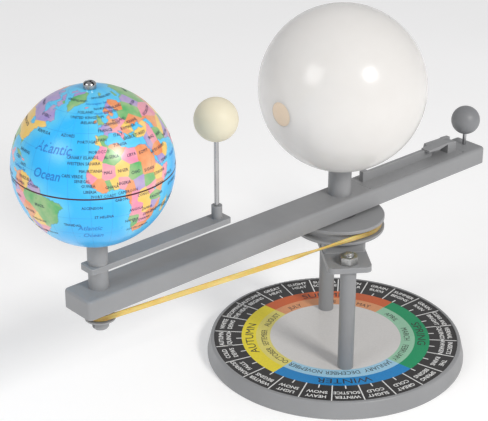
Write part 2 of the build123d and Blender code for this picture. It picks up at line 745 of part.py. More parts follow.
def globe_cap():
    """Domed cap nut on the north pole, cross-slotted above."""
    low = globe_center_z + globe_radius
    cap = disc(cap_diameter / 2, low, low + cap_height, earth_x)
    cap = fillet(cap.edges().group_by(Axis.Z)[-1], 0.45 * cap_height)
    cap -= disc(axle_diameter / 2 + 0.02, low - 1.0, low + cap_bore_depth, earth_x)
    half = cap_slot_width / 2
    slot_bottom = low + cap_height - cap_slot_depth
    long_x = (earth_x - cap_diameter, earth_x + cap_diameter)
    cap -= block(long_x, (-half, half), (slot_bottom, low + 2 * cap_height))
    return cap - block((earth_x - half, earth_x + half), (-cap_diameter, cap_diameter),
                       (slot_bottom, low + 2 * cap_height))


# ---- Moon arm -------------------------------------------------------------------------------
def moon_arm():
    """Flat bar that turns on the spindle, with a boss for the Moon's rod."""
    left = earth_x - moon_arm_overhang
    right = moon_x + moon_arm_tip
    outline = RectangleRounded(right - left, moon_arm_width, moon_arm_corner)
    bar = Pos((left + right) / 2, 0, moon_arm_bottom) * extrude(outline, moon_arm_thickness)
    bar += disc(moon_boss_diameter / 2, moon_arm_bottom, moon_arm_top + moon_boss_height, moon_x)
    bar -= disc(spindle_diameter / 2 + running_gap, moon_arm_bottom - 1.0, moon_arm_top + 1.0, earth_x)
    return bar - disc(moon_rod_diameter / 2 + 0.02, moon_arm_bottom + 0.8, moon_arm_top + 20.0, moon_x)


def moon_rod():
    """Steel rod that carries the Moon."""
    top = moon_center_z - moon_diameter / 2 + moon_rod_entry
    return disc(moon_rod_diameter / 2, moon_arm_bottom + 0.9, top, moon_x)


def moon_ball():
    """Solid ball with a blind hole below."""
    ball = Pos(moon_x, 0, moon_center_z) * Sphere(moon_diameter / 2)
    low = moon_center_z - moon_diameter / 2
    return ball - disc(moon_rod_diameter / 2 + 0.02, low - 1.0, low + moon_rod_entry + 0.1, moon_x)


# ---- Rubber band ----------------------------------------------------------------------------
def belt_outline(big, small):
    """Open loop round two circles: two arcs joined by their outer tangents."""
    lean = asin((big - small) / earth_axis_distance)
    big_high = (-big * sin(lean), big * cos(lean))
    small_high = (-earth_axis_distance - small * sin(lean), small * cos(lean))
    big_low = (big_high[0], -big_high[1])
    small_low = (small_high[0], -small_high[1])
    lines = [Line(small_high, big_high), ThreePointArc(big_high, (big, 0), big_low)]
    small_end = (-earth_axis_distance - small, 0)
    lines += [Line(big_low, small_low), ThreePointArc(small_low, small_end, small_high)]
    return make_face(Wire(lines))


def drive_belt():
    """Flat rubber band round the fixed pulley and the spindle's pulley."""
    big = pulley_groove_diameter / 2 + belt_gap
    small = small_groove_diameter / 2 + belt_gap
    outer = belt_outline(big + belt_thickness, small + belt_thickness)
    loop = extrude(outer - belt_outline(big, small), belt_width)
    big_z = (groove_bottom + groove_top) / 2
    small_z = (small_groove_bottom + small_groove_top) / 2
    tilt = degrees(atan2(small_z - big_z, earth_axis_distance))
    return Pos(0, 0, big_z) * (Rot(0, tilt, 0) * (Pos(0, 0, -belt_width / 2) * loop))


# ---- Assembly -------------------------------------------------------------------------------
def make_nodes():
    """Every piece of the orrery under the name of its node."""
    cells_x = [first_cell_x + number * cell_spacing for number in range(cell_count)]
    return {
        "base_shell": base_shell(),
        "dial_card": dial_card(),
        "post_front": post(post_places[0]),
        "post_rear": post(post_places[1]),
        "post_bolts": at_posts(post_bolt),
        "post_nuts": at_posts(post_nut),
        "pulley_bracket": pulley_bracket(),
        "sun_pulley": sun_pulley(),
        "thrust_washer": thrust_washer(),
        "pivot_bolt": pivot_bolt(),
        "pivot_washer": pivot_washer(),
        "pivot_locknut": pivot_locknut(),
        "arm_beam": arm_beam(),
        "arm_floor": arm_floor(),
        "floor_screws": Compound(children=[floor_screw(x) for x in screw_places]),
        "earth_bearing": earth_bearing(),
        "handle_rod": handle_rod(),
        "handle_ball": handle_ball(),
        "battery_cells": Compound(children=[battery_cell(x) for x in cells_x]),
        "battery_contacts": battery_contacts(),
        "lamp_wires": Compound(children=[lamp_wire(side) for side in (-1, 1)]),
        "sun_post": sun_post(),
        "sun_globe": sun_globe(),
        "sun_window": sun_window(),
        "lamp_holder": lamp_holder(),
        "lamp_cap": lamp_cap(),
        "lamp_glass": lamp_glass(),
        "drive_belt": drive_belt(),
        "earth_shaft": earth_shaft(),
        "earth_pulley": earth_pulley(),
        "earth_collar": earth_collar(),
        "globe_north": globe_half(1),
        "globe_south": globe_half(-1),
        "globe_axle": globe_axle(),
        "globe_cap": globe_cap(),
        "moon_arm": moon_arm(),
        "moon_rod": moon_rod(),
        "moon_ball": moon_ball(),
        "battery_cover": battery_cover(),
    }


os.makedirs("parts", exist_ok=True)
for name, shape in make_nodes().items():
    export_step(shape, f"parts/{name}.step")

belt_ratio = (pulley_groove_diameter + belt_thickness) / (small_groove_diameter + belt_thickness)
print("Earth turns per turn of the arm, relative to the arm:", round(-belt_ratio, 4))
print("Levels: arm", round(arm_bottom, 2), round(arm_top, 2), "Sun", round(sun_center_z, 2),
      "Earth", round(globe_center_z, 2), "Moon", round(moon_center_z, 2))
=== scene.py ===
# %% [markdown]
# # A Sun, Earth and Moon orrery
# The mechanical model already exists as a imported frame: every plastic moulding, pin and screw is
# in it at its real size.  This script dresses that frame.  Pieces that carry print, thread or
# rubber are worked out here as surfaces, the others keep their shape and get a good finish.

# %% Load the frame
import json

import bmesh
import bpy
import numpy as np
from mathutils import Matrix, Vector


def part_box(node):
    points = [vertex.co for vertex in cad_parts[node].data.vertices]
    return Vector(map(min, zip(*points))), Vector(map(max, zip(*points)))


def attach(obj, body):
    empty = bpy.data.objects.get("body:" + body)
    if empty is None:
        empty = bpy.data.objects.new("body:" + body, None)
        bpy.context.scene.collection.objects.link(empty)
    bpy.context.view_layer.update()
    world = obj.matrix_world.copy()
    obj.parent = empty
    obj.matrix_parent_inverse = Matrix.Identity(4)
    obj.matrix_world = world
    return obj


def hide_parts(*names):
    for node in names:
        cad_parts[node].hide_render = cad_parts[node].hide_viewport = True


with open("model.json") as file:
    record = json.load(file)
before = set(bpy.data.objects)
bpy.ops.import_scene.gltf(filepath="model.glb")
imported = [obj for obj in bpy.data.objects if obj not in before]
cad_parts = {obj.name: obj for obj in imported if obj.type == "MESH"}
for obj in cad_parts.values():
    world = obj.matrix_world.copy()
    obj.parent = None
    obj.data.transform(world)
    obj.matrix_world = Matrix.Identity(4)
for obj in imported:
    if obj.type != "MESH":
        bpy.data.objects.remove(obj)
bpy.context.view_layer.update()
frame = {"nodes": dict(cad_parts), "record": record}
nodes = frame["nodes"]
mm = 0.001

# %% [markdown]
# The places that the new pieces need are all read from the frame, so nothing has to be fitted:
# the axis of the Earth is the middle of its pulley, the dial's height is the top of its card.

# %% Places read from the frame


def middle(node):
    """Centre of a node's box."""
    low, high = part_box(node)
    return (low + high) / 2


earth_x = middle("earth_pulley").x
globe_radius = (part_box("globe_north")[1].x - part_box("globe_north")[0].x) / 2
equator_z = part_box("globe_north")[0].z
card_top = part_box("dial_card")[1].z
card_radius = (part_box("dial_card")[1].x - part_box("dial_card")[0].x) / 2
print("Earth axis x", round(earth_x, 4), "equator z", round(equator_z, 4))
print("card radius", round(card_radius, 4), "card top z", round(card_top, 4))

# %% [markdown]
# ## Camera
# The model is seen from a little above, over its Earth end.  A long lens from a distance keeps the
# spheres round, so the camera is described by where it looks, how far off it stands and from which
# side: azimuth turns it round the model and elevation lifts it.

# %% Camera
view_target = Vector((-20.5, 46.9, 68.5)) * mm
view_distance = 776.5 * mm
view_azimuth = np.radians(-41.5)
view_elevation = np.radians(25.46)
back = Vector((np.sin(view_azimuth) * np.cos(view_elevation),
               -np.cos(view_azimuth) * np.cos(view_elevation),
               np.sin(view_elevation)))
camera_data = bpy.data.cameras.new("camera")
camera_data.lens = 113.5
camera_data.sensor_width = 36.0
camera_data.clip_start = 0.01
camera = bpy.data.objects.new("camera", camera_data)
camera.location = view_target + back * view_distance
camera.rotation_euler = (-back).to_track_quat("-Z", "Y").to_euler()
bpy.context.scene.collection.objects.link(camera)
bpy.context.scene.camera = camera
print("camera at", [round(v, 3) for v in camera.location])

# %% [markdown]
# ## Studio
# A pale floor, a bright even sky and two softboxes.  Each softbox stands off from the model in a
# direction given as right, up and back of the camera.  The right one is small and bright, the left
# one wide and faint.  Their two small glints on the Sun tell the eye that it is a smooth ball.

# %% Floor and lights
right = Vector((np.cos(view_azimuth), np.sin(view_azimuth), 0))
up = back.cross(right)
lit_centre = Vector((-0.03, 0, 0.1))


def softbox(name, toward, distance, size, power, tint=(1, 1, 1)):
    """Square area light at a direction given as (right, up, back), aimed at the model."""
    data = bpy.data.lights.new(name, "AREA")
    data.size = size
    data.energy = power
    data.color = tint
    light = bpy.data.objects.new(name, data)
    offset = right * toward[0] + up * toward[1] + back * toward[2]
    light.location = lit_centre + offset.normalized() * distance
    light.rotation_euler = (-offset).to_track_quat("-Z", "Y").to_euler()
    bpy.context.scene.collection.objects.link(light)
    return light


softbox("softbox_right", (0.54, 0.25, 0.805), 1.3, 0.26, 9.0, (1.0, 0.98, 0.95))
softbox("softbox_left", (-0.65, 0.25, 0.715), 1.3, 0.50, 4.0, (1.0, 0.99, 0.98))

world = bpy.data.worlds.new("studio")
world.use_nodes = True
world.node_tree.nodes["Background"].inputs["Color"].default_value = (0.985, 0.985, 1.0, 1)
world.node_tree.nodes["Background"].inputs["Strength"].default_value = 0.52
bpy.context.scene.world = world
bpy.context.scene.view_settings.view_transform = "Standard"

# %% [markdown]
# ## Surfaces from arrays
# Apart from the lettering, every new piece is a grid of points.  Two parameters give the positions
# of the whole grid at once, and one helper makes a mesh of it.  Where a direction closes on itself,
# the last row joins the first, so rings and shells have no seam.

# %% Mesh helpers


def add_object(name, points, faces, smooth=True):
    """Mesh object at the origin from an (n, 3) array of points and an (m, 3 or 4) array of faces."""
    mesh = bpy.data.meshes.new(name)
    points = np.asarray(points, dtype=np.float32)
    faces = np.asarray(faces, dtype=np.int32)
    count, corners = faces.shape
    mesh.vertices.add(len(points))
    mesh.vertices.foreach_set("co", points.ravel())
    mesh.loops.add(count * corners)
    mesh.loops.foreach_set("vertex_index", faces.ravel())
    mesh.polygons.add(count)
    mesh.polygons.foreach_set("loop_start", np.arange(count, dtype=np.int32) * corners)
    mesh.polygons.foreach_set("use_smooth", np.full(count, smooth))
    mesh.update(calc_edges=True)
    mesh.validate()
    thing = bpy.data.objects.new(name, mesh)
    bpy.context.scene.collection.objects.link(thing)
    return thing


def grid_faces(rows, columns, close_rows=False, close_columns=False):
    """Quads between neighbouring points of a rows by columns grid, wrapped where it closes."""
    row = np.arange(rows if close_rows else rows - 1)[:, None]
    column = np.arange(columns if close_columns else columns - 1)[None, :]
    next_row = (row + 1) % rows
    next_column = (column + 1) % columns
    a = row * columns + column
    b = row * columns + next_column
    c = next_row * columns + next_column
    d = next_row * columns + column
    return np.stack(np.broadcast_arrays(a, b, c, d), axis=-1).reshape(-1, 4)


def turned_points(radius, height, columns):
    """Grid of a profile (radius, height) carried round Z: x = r cos a, y = r sin a, z = height."""
    angle = np.linspace(0, 2 * np.pi, columns, endpoint=False)
    x = radius[:, None] * np.cos(angle)
    y = radius[:, None] * np.sin(angle)
    z = np.repeat(height[:, None], columns, axis=1)
    return np.stack([x, y, z], axis=-1)


def joined(name, pieces, smooth=False):
    """One object from several pairs of points and faces."""
    all_points, all_faces, start = [], [], 0
    for points, faces in pieces:
        all_points.append(points)
        all_faces.append(faces + start)
        start += len(points)
    return add_object(name, np.concatenate(all_points), np.concatenate(all_faces), smooth)


def count_faces(thing):
    """Prints a piece's name and face count, and passes it on."""
    print(thing.name, len(thing.data.polygons), "faces")
    return thing


# %% [markdown]
# ## Finishes
# A finish is a small network: a principled shader whose colour and roughness come from noise on
# Object coordinates, and a bump for the fine grain.  The helpers below keep each one to a few
# lines: `noise` gives a soft pattern, `between` maps it onto two colours or two numbers.

# %% Shader helpers


class Finish:
    """A material being built: holds its node tree and gives the usual building blocks."""

    def __init__(self, name, **constants):
        self.material = bpy.data.materials.new(name)
        self.material.use_nodes = True
        self.tree = self.material.node_tree
        self.shader = self.tree.nodes["Principled BSDF"]
        for socket, value in constants.items():
            self.shader.inputs[socket.replace("_", " ")].default_value = value
        self.place = self.tree.nodes.new("ShaderNodeTexCoord").outputs["Object"]

    def node(self, kind, **settings):
        """New node with the given settings."""
        made = self.tree.nodes.new(kind)
        for key, value in settings.items():
            setattr(made, key, value)
        return made

    def link(self, source, target):
        """Joins an output to an input."""
        self.tree.links.new(source, target)

    def noise(self, scale, detail=3.0, roughness=0.55, stretch=None):
        """Fractal noise on Object coordinates, in cycles per metre; stretch scales each axis."""
        pattern = self.node("ShaderNodeTexNoise")
        pattern.inputs["Scale"].default_value = scale
        pattern.inputs["Detail"].default_value = detail
        pattern.inputs["Roughness"].default_value = roughness
        source = self.place
        if stretch is not None:
            mapping = self.node("ShaderNodeMapping")
            mapping.inputs["Scale"].default_value = stretch
            self.link(source, mapping.inputs["Vector"])
            source = mapping.outputs["Vector"]
        self.link(source, pattern.inputs["Vector"])
        return pattern.outputs["Fac"]

    def between(self, value, low, high, from_low=0.3, from_high=0.7):
        """Maps a pattern onto a range of numbers, clamped."""
        spread = self.node("ShaderNodeMapRange")
        spread.inputs["From Min"].default_value = from_low
        spread.inputs["From Max"].default_value = from_high
        spread.inputs["To Min"].default_value = low
        spread.inputs["To Max"].default_value = high
        self.link(value, spread.inputs["Value"])
        return spread.outputs["Result"]

    def blend(self, value, first, second):
        """Mixes two colours (or colour outputs) by a pattern."""
        mix = self.node("ShaderNodeMix", data_type="RGBA")
        self.link(value, mix.inputs["Factor"])
        for socket, colour in ((mix.inputs["A"], first), (mix.inputs["B"], second)):
            if isinstance(colour, tuple):
                socket.default_value = (*colour, 1.0)
            else:
                self.link(colour, socket)
        return mix.outputs["Result"]

    def math(self, operation, first, second=None):
        """One arithmetic step on outputs or plain numbers."""
        step = self.node("ShaderNodeMath", operation=operation)
        for socket, value in zip(step.inputs, (first, second)):
            if isinstance(value, (int, float)):
                socket.default_value = value
            elif value is not None:
                self.link(value, socket)
        return step.outputs["Value"]

    def colour(self, output):
        """Sends a colour to the shader."""
        self.link(output, self.shader.inputs["Base Color"])
        return self

    def mottle(self, pattern, dark, light):
        """Colours the shader between two tones by a pattern."""
        return self.colour(self.blend(self.between(pattern, 0, 1), dark, light))

    def rough(self, output):
        """Sends a roughness to the shader."""
        self.link(output, self.shader.inputs["Roughness"])
        return self

    def bump(self, height, depth, strength=1.0):
        """Bump of the given depth in metres."""
        relief = self.node("ShaderNodeBump")
        relief.inputs["Strength"].default_value = strength
        relief.inputs["Distance"].default_value = depth
        self.link(height, relief.inputs["Height"])
        self.link(relief.outputs["Normal"], self.shader.inputs["Normal"])
        return self


def edge_wear_and_highlight(finish, colour, worn_and_lit_edge, amount=0.6, size=0.9 * mm):
    """Lightens sharp edges with a painted highlight, made patchy like rubbed wear: compares the true
    normal with one rounded over a small radius.
    """
    rounded = finish.node("ShaderNodeBevel", samples=4)
    rounded.inputs["Radius"].default_value = size
    true = finish.node("ShaderNodeNewGeometry").outputs["Normal"]
    dot = finish.node("ShaderNodeVectorMath", operation="DOT_PRODUCT")
    finish.link(rounded.outputs["Normal"], dot.inputs[0])
    finish.link(true, dot.inputs[1])
    edge = finish.between(dot.outputs["Value"], amount, 0.0, 0.86, 0.99)
    patchy = finish.math("MULTIPLY", edge, finish.between(finish.noise(260.0), 0.3, 1.0))
    # Where the two normals differ the edge gets the lighter colour: a painted highlight, patchy like
    # rubbed wear.
    return finish.blend(patchy, colour, worn_and_lit_edge)


# %% [markdown]
# ### Grey moulded plastic
# The stand, arm and pins are one grey ABS.  A real moulding isn't one grey: its tone drifts a
# little with wall thickness and its skin has a fine spark-eroded grain.  Its edges carry a painted
# highlight where rounded edges would catch the light, made patchy like rubbed wear.

# %% Grey plastic


def grey_plastic(name="grey_plastic", base=(0.272, 0.276, 0.284), grain=900.0):
    """Satin ABS with tone drift, fine grain and a painted highlight on the edges, patchy like rubbed
    wear.
    """
    finish = Finish(name, Specular_IOR_Level=0.45)
    dark = tuple(0.93 * value for value in base)
    light = tuple(1.06 * value for value in base)
    tone = finish.blend(finish.between(finish.noise(28.0, 4.0), 0.0, 1.0), dark, light)
    # The edge colour, 1.45 times the base, is a painted highlight on the edges, patchy like rubbed wear.
    finish.colour(edge_wear_and_highlight(finish, tone, tuple(min(1.0, 1.45 * value) for value in base)))
    finish.rough(finish.between(finish.noise(120.0, 5.0), 0.36, 0.48))
    finish.bump(finish.noise(grain, 2.0, 0.6), 0.03 * mm, 0.6)
    return finish.material


# %% [markdown]
# ### Metals
# Zinc-plated hardware has a slightly mottled, bright skin.  Drawn steel pins have fine lines that
# run along them, made by squeezing the noise in one direction.

# %% Metals


def zinc_steel():
    """Bright zinc plating: mottled tone and roughness."""
    finish = Finish("zinc_steel", Metallic=1.0)
    finish.mottle(finish.noise(700.0, 4.0), (0.38, 0.38, 0.375), (0.50, 0.50, 0.49))
    finish.rough(finish.between(finish.noise(900.0, 4.0), 0.30, 0.45))
    finish.bump(finish.noise(1600.0, 3.0), 0.02 * mm, 0.5)
    return finish.material


def bright_steel():
    """Drawn steel: fine lines along Z."""
    finish = Finish("bright_steel", Metallic=1.0)
    lines = finish.noise(2200.0, 3.0, 0.6, stretch=(1.0, 1.0, 0.03))
    finish.mottle(lines, (0.34, 0.34, 0.35), (0.50, 0.50, 0.51))
    finish.rough(finish.between(lines, 0.16, 0.34))
    finish.bump(lines, 0.01 * mm, 0.5)
    return finish.material


def brass_shell():
    """Nickelled brass of the lamp's screw shell: thread rings as bump."""
    finish = Finish("brass_shell", Metallic=1.0)
    finish.mottle(finish.noise(500.0), (0.66, 0.55, 0.33), (0.80, 0.70, 0.46))
    finish.rough(finish.between(finish.noise(800.0), 0.2, 0.4))
    rings = finish.node("ShaderNodeTexWave", wave_type="BANDS", bands_direction="Z")
    rings.inputs["Scale"].default_value = 180.0
    finish.link(finish.place, rings.inputs["Vector"])
    finish.bump(rings.outputs["Fac"], 0.3 * mm, 0.8)
    return finish.material


# %% [markdown]
# ### Sun, Moon and window
# The Sun is a blown ball of milky plastic, so light enters it a little way before it comes back:
# that is subsurface scattering, with a faint cloudiness in the tone.  The Moon is cream plastic,
# and the Sun's round window is a peach-coloured translucent disc.

# %% Milky plastics


def milky_plastic(name, dark, light, roughness, depth, scatter=0.25):
    """Translucent plastic: cloudy tone, soft gloss, light scattered below the skin."""
    finish = Finish(name, Subsurface_Weight=scatter, Subsurface_Scale=depth, Specular_IOR_Level=0.4)
    finish.shader.inputs["Subsurface Radius"].default_value = (1.0, 0.98, 0.95)
    finish.mottle(finish.noise(22.0, 4.0), dark, light)
    finish.rough(finish.between(finish.noise(90.0, 4.0), *roughness))
    finish.bump(finish.noise(45.0, 2.0), 0.02 * mm, 0.3)
    return finish.material


# %% [markdown]
# ### Rubber, nylon, wire and glass
# The drive band is amber rubber, glossy and a little see-through.  An attribute on it is 1 in the
# free stretches and 0 on the wheels, where the band gets a deep amber as painted shade in the
# grooves.  Nylon, the wires' skin and the small lamp sit mostly out of sight, but they still get
# their own finish.

# %% Small finishes


def amber_rubber():
    """Rubber with streaks along it: pale amber in the free stretches, and a deep amber on the wheels that
    is painted shade in the grooves.
    """
    finish = Finish("yellow_rubber", Subsurface_Weight=0.3, Subsurface_Scale=1.5 * mm,
                    Transmission_Weight=0.3, IOR=1.45)
    streak = finish.noise(500.0, 4.0, 0.6, stretch=(0.15, 1.0, 1.0))
    pale = finish.blend(finish.between(streak, 0, 1), (0.82, 0.57, 0.13), (0.92, 0.73, 0.28))
    # Deep amber: painted shade where the band lies in the pulleys' grooves.
    deep = finish.blend(finish.between(streak, 0, 1), (0.40, 0.26, 0.05), (0.52, 0.36, 0.09))
    free = finish.node("ShaderNodeAttribute", attribute_name="lit_free_span").outputs["Fac"]
    finish.colour(finish.blend(free, deep, pale))
    finish.rough(finish.between(streak, 0.28, 0.45))
    finish.bump(streak, 0.03 * mm, 0.5)
    return finish.material


def plain_polymer(name, dark, light, roughness=(0.4, 0.55)):
    """Soft-toned polymer for nylon and wire insulation."""
    finish = Finish(name)
    finish.mottle(finish.noise(300.0), dark, light)
    finish.rough(finish.between(finish.noise(500.0), *roughness))
    finish.bump(finish.noise(1500.0), 0.015 * mm, 0.4)
    return finish.material


def clear_glass():
    """Thin lamp glass with a faint waviness."""
    finish = Finish("lamp_glass", Transmission_Weight=1.0, IOR=1.46)
    finish.rough(finish.between(finish.noise(400.0), 0.01, 0.05))
    finish.bump(finish.noise(150.0), 0.05 * mm, 0.3)
    return finish.material


finishes = {
    "grey_plastic": grey_plastic(),
    "zinc_steel": zinc_steel(),
    "bright_steel": bright_steel(),
    "brass_shell": brass_shell(),
    "sun_plastic": milky_plastic("sun_plastic", (0.85, 0.81, 0.765), (0.90, 0.865, 0.825),
                                 (0.17, 0.22), 9 * mm, 0.6),
    "moon_plastic": milky_plastic("moon_plastic", (0.69, 0.635, 0.48), (0.75, 0.70, 0.545),
                                  (0.45, 0.55), 3 * mm),
    "window_plastic": milky_plastic("window_plastic", (0.74, 0.57, 0.42), (0.80, 0.66, 0.51),
                                    (0.3, 0.4), 2 * mm),
    "yellow_rubber": amber_rubber(),
    "white_nylon": plain_polymer("white_nylon", (0.70, 0.69, 0.64), (0.80, 0.79, 0.75)),
    "wire_insulation": plain_polymer("wire_insulation", (0.42, 0.03, 0.03), (0.55, 0.06, 0.05),
                                     (0.3, 0.45)),
    "printed_card": plain_polymer("printed_card", (0.60, 0.59, 0.57), (0.66, 0.65, 0.63), (0.35, 0.5)),
    "lamp_glass": clear_glass(),
}
print(len(finishes), "finishes")

# %% [markdown]
# ## Dressing the frame
# The record says which finish each node takes.  Two nodes then get a darker tone of their own: the
# thrust washer is graphite nylon, and the handle's ball is a deeper grey than the arm.  The globe's
# halves, the band and the threaded bolts are replaced further down, so they aren't dressed here.

# %% Give every kept node its finish
slot_of = {entry["node"]: entry["material_slot"] for entry in frame["record"]["subparts"]}
remade = {"globe_north", "globe_south", "drive_belt", "post_bolts"}


def dress(thing, material):
    """Puts one material on a whole object."""
    thing.data.materials.clear()
    thing.data.materials.append(material)


for name, thing in nodes.items():
    if name not in remade:
        dress(thing, finishes[slot_of[name]])
dress(nodes["thrust_washer"],
      plain_polymer("graphite_nylon", (0.055, 0.055, 0.058), (0.075, 0.075, 0.078)))
dress(nodes["handle_ball"], grey_plastic("ball_plastic", (0.215, 0.22, 0.23)))
print("dressed", len(nodes) - len(remade), "nodes")

# %% [markdown]
# ## The dial's printed rings
# The base carries a card with a year printed round it: a black ring cut in 24 fields, a ring of
# four seasons, a paler ring of twelve months and a plain middle.  A texture would do, but printed
# edges stay crisp at any size when each ring is geometry, so the print is a polar grid: radius and
# angle are the two parameters, and the season of each face follows from its angle.

# %% Dial inks
year_start = np.radians(-136.2)     # where the winter solstice's field begins
field_count = 24
field_angle = 2 * np.pi / field_count
ring_black = 46.4 / 60.0            # inner edges of the rings, as shares of the dial's radius
ring_season = 39.25 / 60.0
ring_month = 32.3 / 60.0
dial_radius = card_radius - 0.05 * mm
print_low = card_top + 0.005 * mm
print_top = card_top + 0.03 * mm
line_top = card_top + 0.06 * mm
word_level = card_top + 0.05 * mm


def ink(name, colour, spread=0.05, gloss=0.15):
    """Laminated printing ink: tiny tone speckle under a smooth, slightly wavy film."""
    finish = Finish(name, Coat_Weight=gloss, Coat_Roughness=0.12, Specular_IOR_Level=0.3)
    dark = tuple((1 - spread) * value for value in colour)
    light = tuple(min(1.0, (1 + spread) * value) for value in colour)
    finish.mottle(finish.noise(1400.0, 2.0), dark, light)
    finish.rough(finish.between(finish.noise(70.0, 3.0), 0.32, 0.46))
    finish.bump(finish.noise(60.0, 2.0), 0.05 * mm, 0.25)
    return finish.material


season_inks = [
    (ink("winter_ink", (0.008, 0.22, 0.54)), ink("winter_pale_ink", (0.33, 0.58, 0.74))),
    (ink("spring_ink", (0.004, 0.29, 0.115)), ink("spring_pale_ink", (0.30, 0.56, 0.39))),
    (ink("summer_ink", (0.58, 0.115, 0.03)), ink("summer_pale_ink", (0.68, 0.30, 0.14))),
    (ink("autumn_ink", (0.79, 0.66, 0.028)), ink("autumn_pale_ink", (0.72, 0.64, 0.17))),
]
black_ink = ink("black_ink", (0.028, 0.026, 0.026))
middle_ink = ink("middle_ink", (0.66, 0.645, 0.63), 0.03, 0.6)
white_ink = ink("white_ink", (0.80, 0.80, 0.79), 0.03)
black_slot = 2 * len(season_inks)
middle_slot = black_slot + 1
print("dial inks:", black_slot + 3)

# %% Dial rings


def dial_rings():
    """Thin closed disc: top and bottom are the polar grid (radius, angle), joined round the rim."""
    columns = field_count * 10
    edges = [0.004, ring_month * 0.5, ring_month, ring_season, ring_black, 1.0]
    steps = np.array(edges) * dial_radius
    radius = np.concatenate([steps, steps[::-1]])
    height = np.repeat([print_top, print_low], len(steps))
    points = turned_points(radius, height, columns)
    spin = year_start + field_angle * -2.5      # winter begins two and a half fields earlier
    turn = np.array([[np.cos(spin), np.sin(spin)], [-np.sin(spin), np.cos(spin)]])
    points[..., :2] = points[..., :2] @ turn
    rows = len(radius)
    faces = grid_faces(rows, columns, close_rows=True, close_columns=True)
    thing = add_object("dial_rings", points.reshape(-1, 3), faces, smooth=False)
    row = np.repeat(np.arange(rows), columns)
    column = np.tile(np.arange(columns), rows)
    season = column // (columns // 4)
    month_row, season_row, black_row = map(edges.index, (ring_month, ring_season, ring_black))
    slot = np.full(rows * columns, middle_slot)
    slot[row == black_row] = black_slot
    slot[row == season_row] = 2 * season[row == season_row]
    slot[row == month_row] = 2 * season[row == month_row] + 1
    for material in [shade for pair in season_inks for shade in pair] + [black_ink, middle_ink]:
        thing.data.materials.append(material)
    thing.data.polygons.foreach_set("material_index", slot.astype(np.int32))
    return count_faces(thing)


rings = dial_rings()
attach(rings, "base")

# %% [markdown]
# ## The dial's lines and words
# White lines part the fields, with a short tick at each field's middle.  The words are the
# ordinary names of months, seasons and the solar year's 24 terms.  A word is made with Blender's
# own font, turned into a mesh, and bent round the dial: its x becomes an angle and its y a radius,
# so the letters' tops point outwards.

# %% Bars along a radius


def dial_bars():
    """Thin boxes given by angle, width and two radii: 24 dividing lines and 24 short ticks."""
    line_end, tick_end = 0.995, ring_black + 0.045
    line_half, tick_half = 0.28 * mm, 0.3 * mm
    angle = year_start + field_angle * np.arange(field_count)
    angles = np.concatenate([angle, angle + field_angle / 2])
    inner = np.full(len(angles), ring_black * dial_radius)
    outer = np.repeat([line_end, tick_end], field_count) * dial_radius
    half = np.repeat([line_half, tick_half], field_count)
    along = np.stack([inner, outer, outer, inner] * 2, axis=1)
    side = np.stack([-half, -half, half, half] * 2, axis=1)
    z = np.broadcast_to(np.array([print_top] * 4 + [line_top] * 4), along.shape)
    x = along * np.cos(angles)[:, None] - side * np.sin(angles)[:, None]
    y = along * np.sin(angles)[:, None] + side * np.cos(angles)[:, None]
    box = np.array([[3, 2, 1, 0], [4, 5, 6, 7], [0, 1, 5, 4], [1, 2, 6, 5], [2, 3, 7, 6], [3, 0, 4, 7]])
    faces = (box[None] + 8 * np.arange(len(angles))[:, None, None]).reshape(-1, 4)
    points = np.stack([x, y, z], axis=-1).reshape(-1, 3)
    return add_object("dial_lines", points, faces, smooth=False)


lines = count_faces(dial_bars())
dress(lines, white_ink)
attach(lines, "base")

# %% Words round the dial
capital_share = 0.72     # height of a capital in Blender's font, at size 1


def word_mesh(text, height, stretch, weight=0.0, roundness=3, depth=0.02 * mm):
    """Points and triangles of a word: capitals `height` tall, centred on x, standing on y = 0."""
    curve = bpy.data.curves.new("word", "FONT")
    curve.body = text
    curve.size = height / capital_share
    curve.align_x = "CENTER"
    curve.resolution_u = roundness
    curve.offset = weight * height
    curve.extrude = depth / 2
    carrier = bpy.data.objects.new("word", curve)
    bpy.context.scene.collection.objects.link(carrier)
    depsgraph = bpy.context.evaluated_depsgraph_get()
    mesh = bpy.data.meshes.new_from_object(carrier.evaluated_get(depsgraph))
    shape = bmesh.new()
    shape.from_mesh(mesh)
    bmesh.ops.remove_doubles(shape, verts=shape.verts, dist=1e-7)
    bmesh.ops.triangulate(shape, faces=shape.faces)
    shape.to_mesh(mesh)
    shape.free()
    points = np.empty(len(mesh.vertices) * 3)
    mesh.vertices.foreach_get("co", points)
    points = points.reshape(-1, 3)
    points[:, 0] *= stretch
    faces = np.empty(len(mesh.polygons) * 3, dtype=np.int32)
    mesh.polygons.foreach_get("vertices", faces)
    bpy.data.objects.remove(carrier)
    bpy.data.curves.remove(curve)
    bpy.data.meshes.remove(mesh)
    return points, faces.reshape(-1, 3)


def bend_round(points, radius, angle, height):
    """Bends flat lettering round the dial: angle = centre - x / radius, distance = radius + y."""
    turn = angle - points[:, 0] / radius
    reach = radius + points[:, 1]
    return np.stack([reach * np.cos(turn), reach * np.sin(turn), height + points[:, 2]], axis=1)


def lettering(name, words, weight):
    """One object from many words, each a text, capitals' height, stretch, radius and angle."""
    pieces = []
    for text, size, stretch, radius, angle in words:
        points, faces = word_mesh(text, size, stretch, weight)
        pieces.append((bend_round(points, radius, angle, word_level), faces))
    return joined(name, pieces)


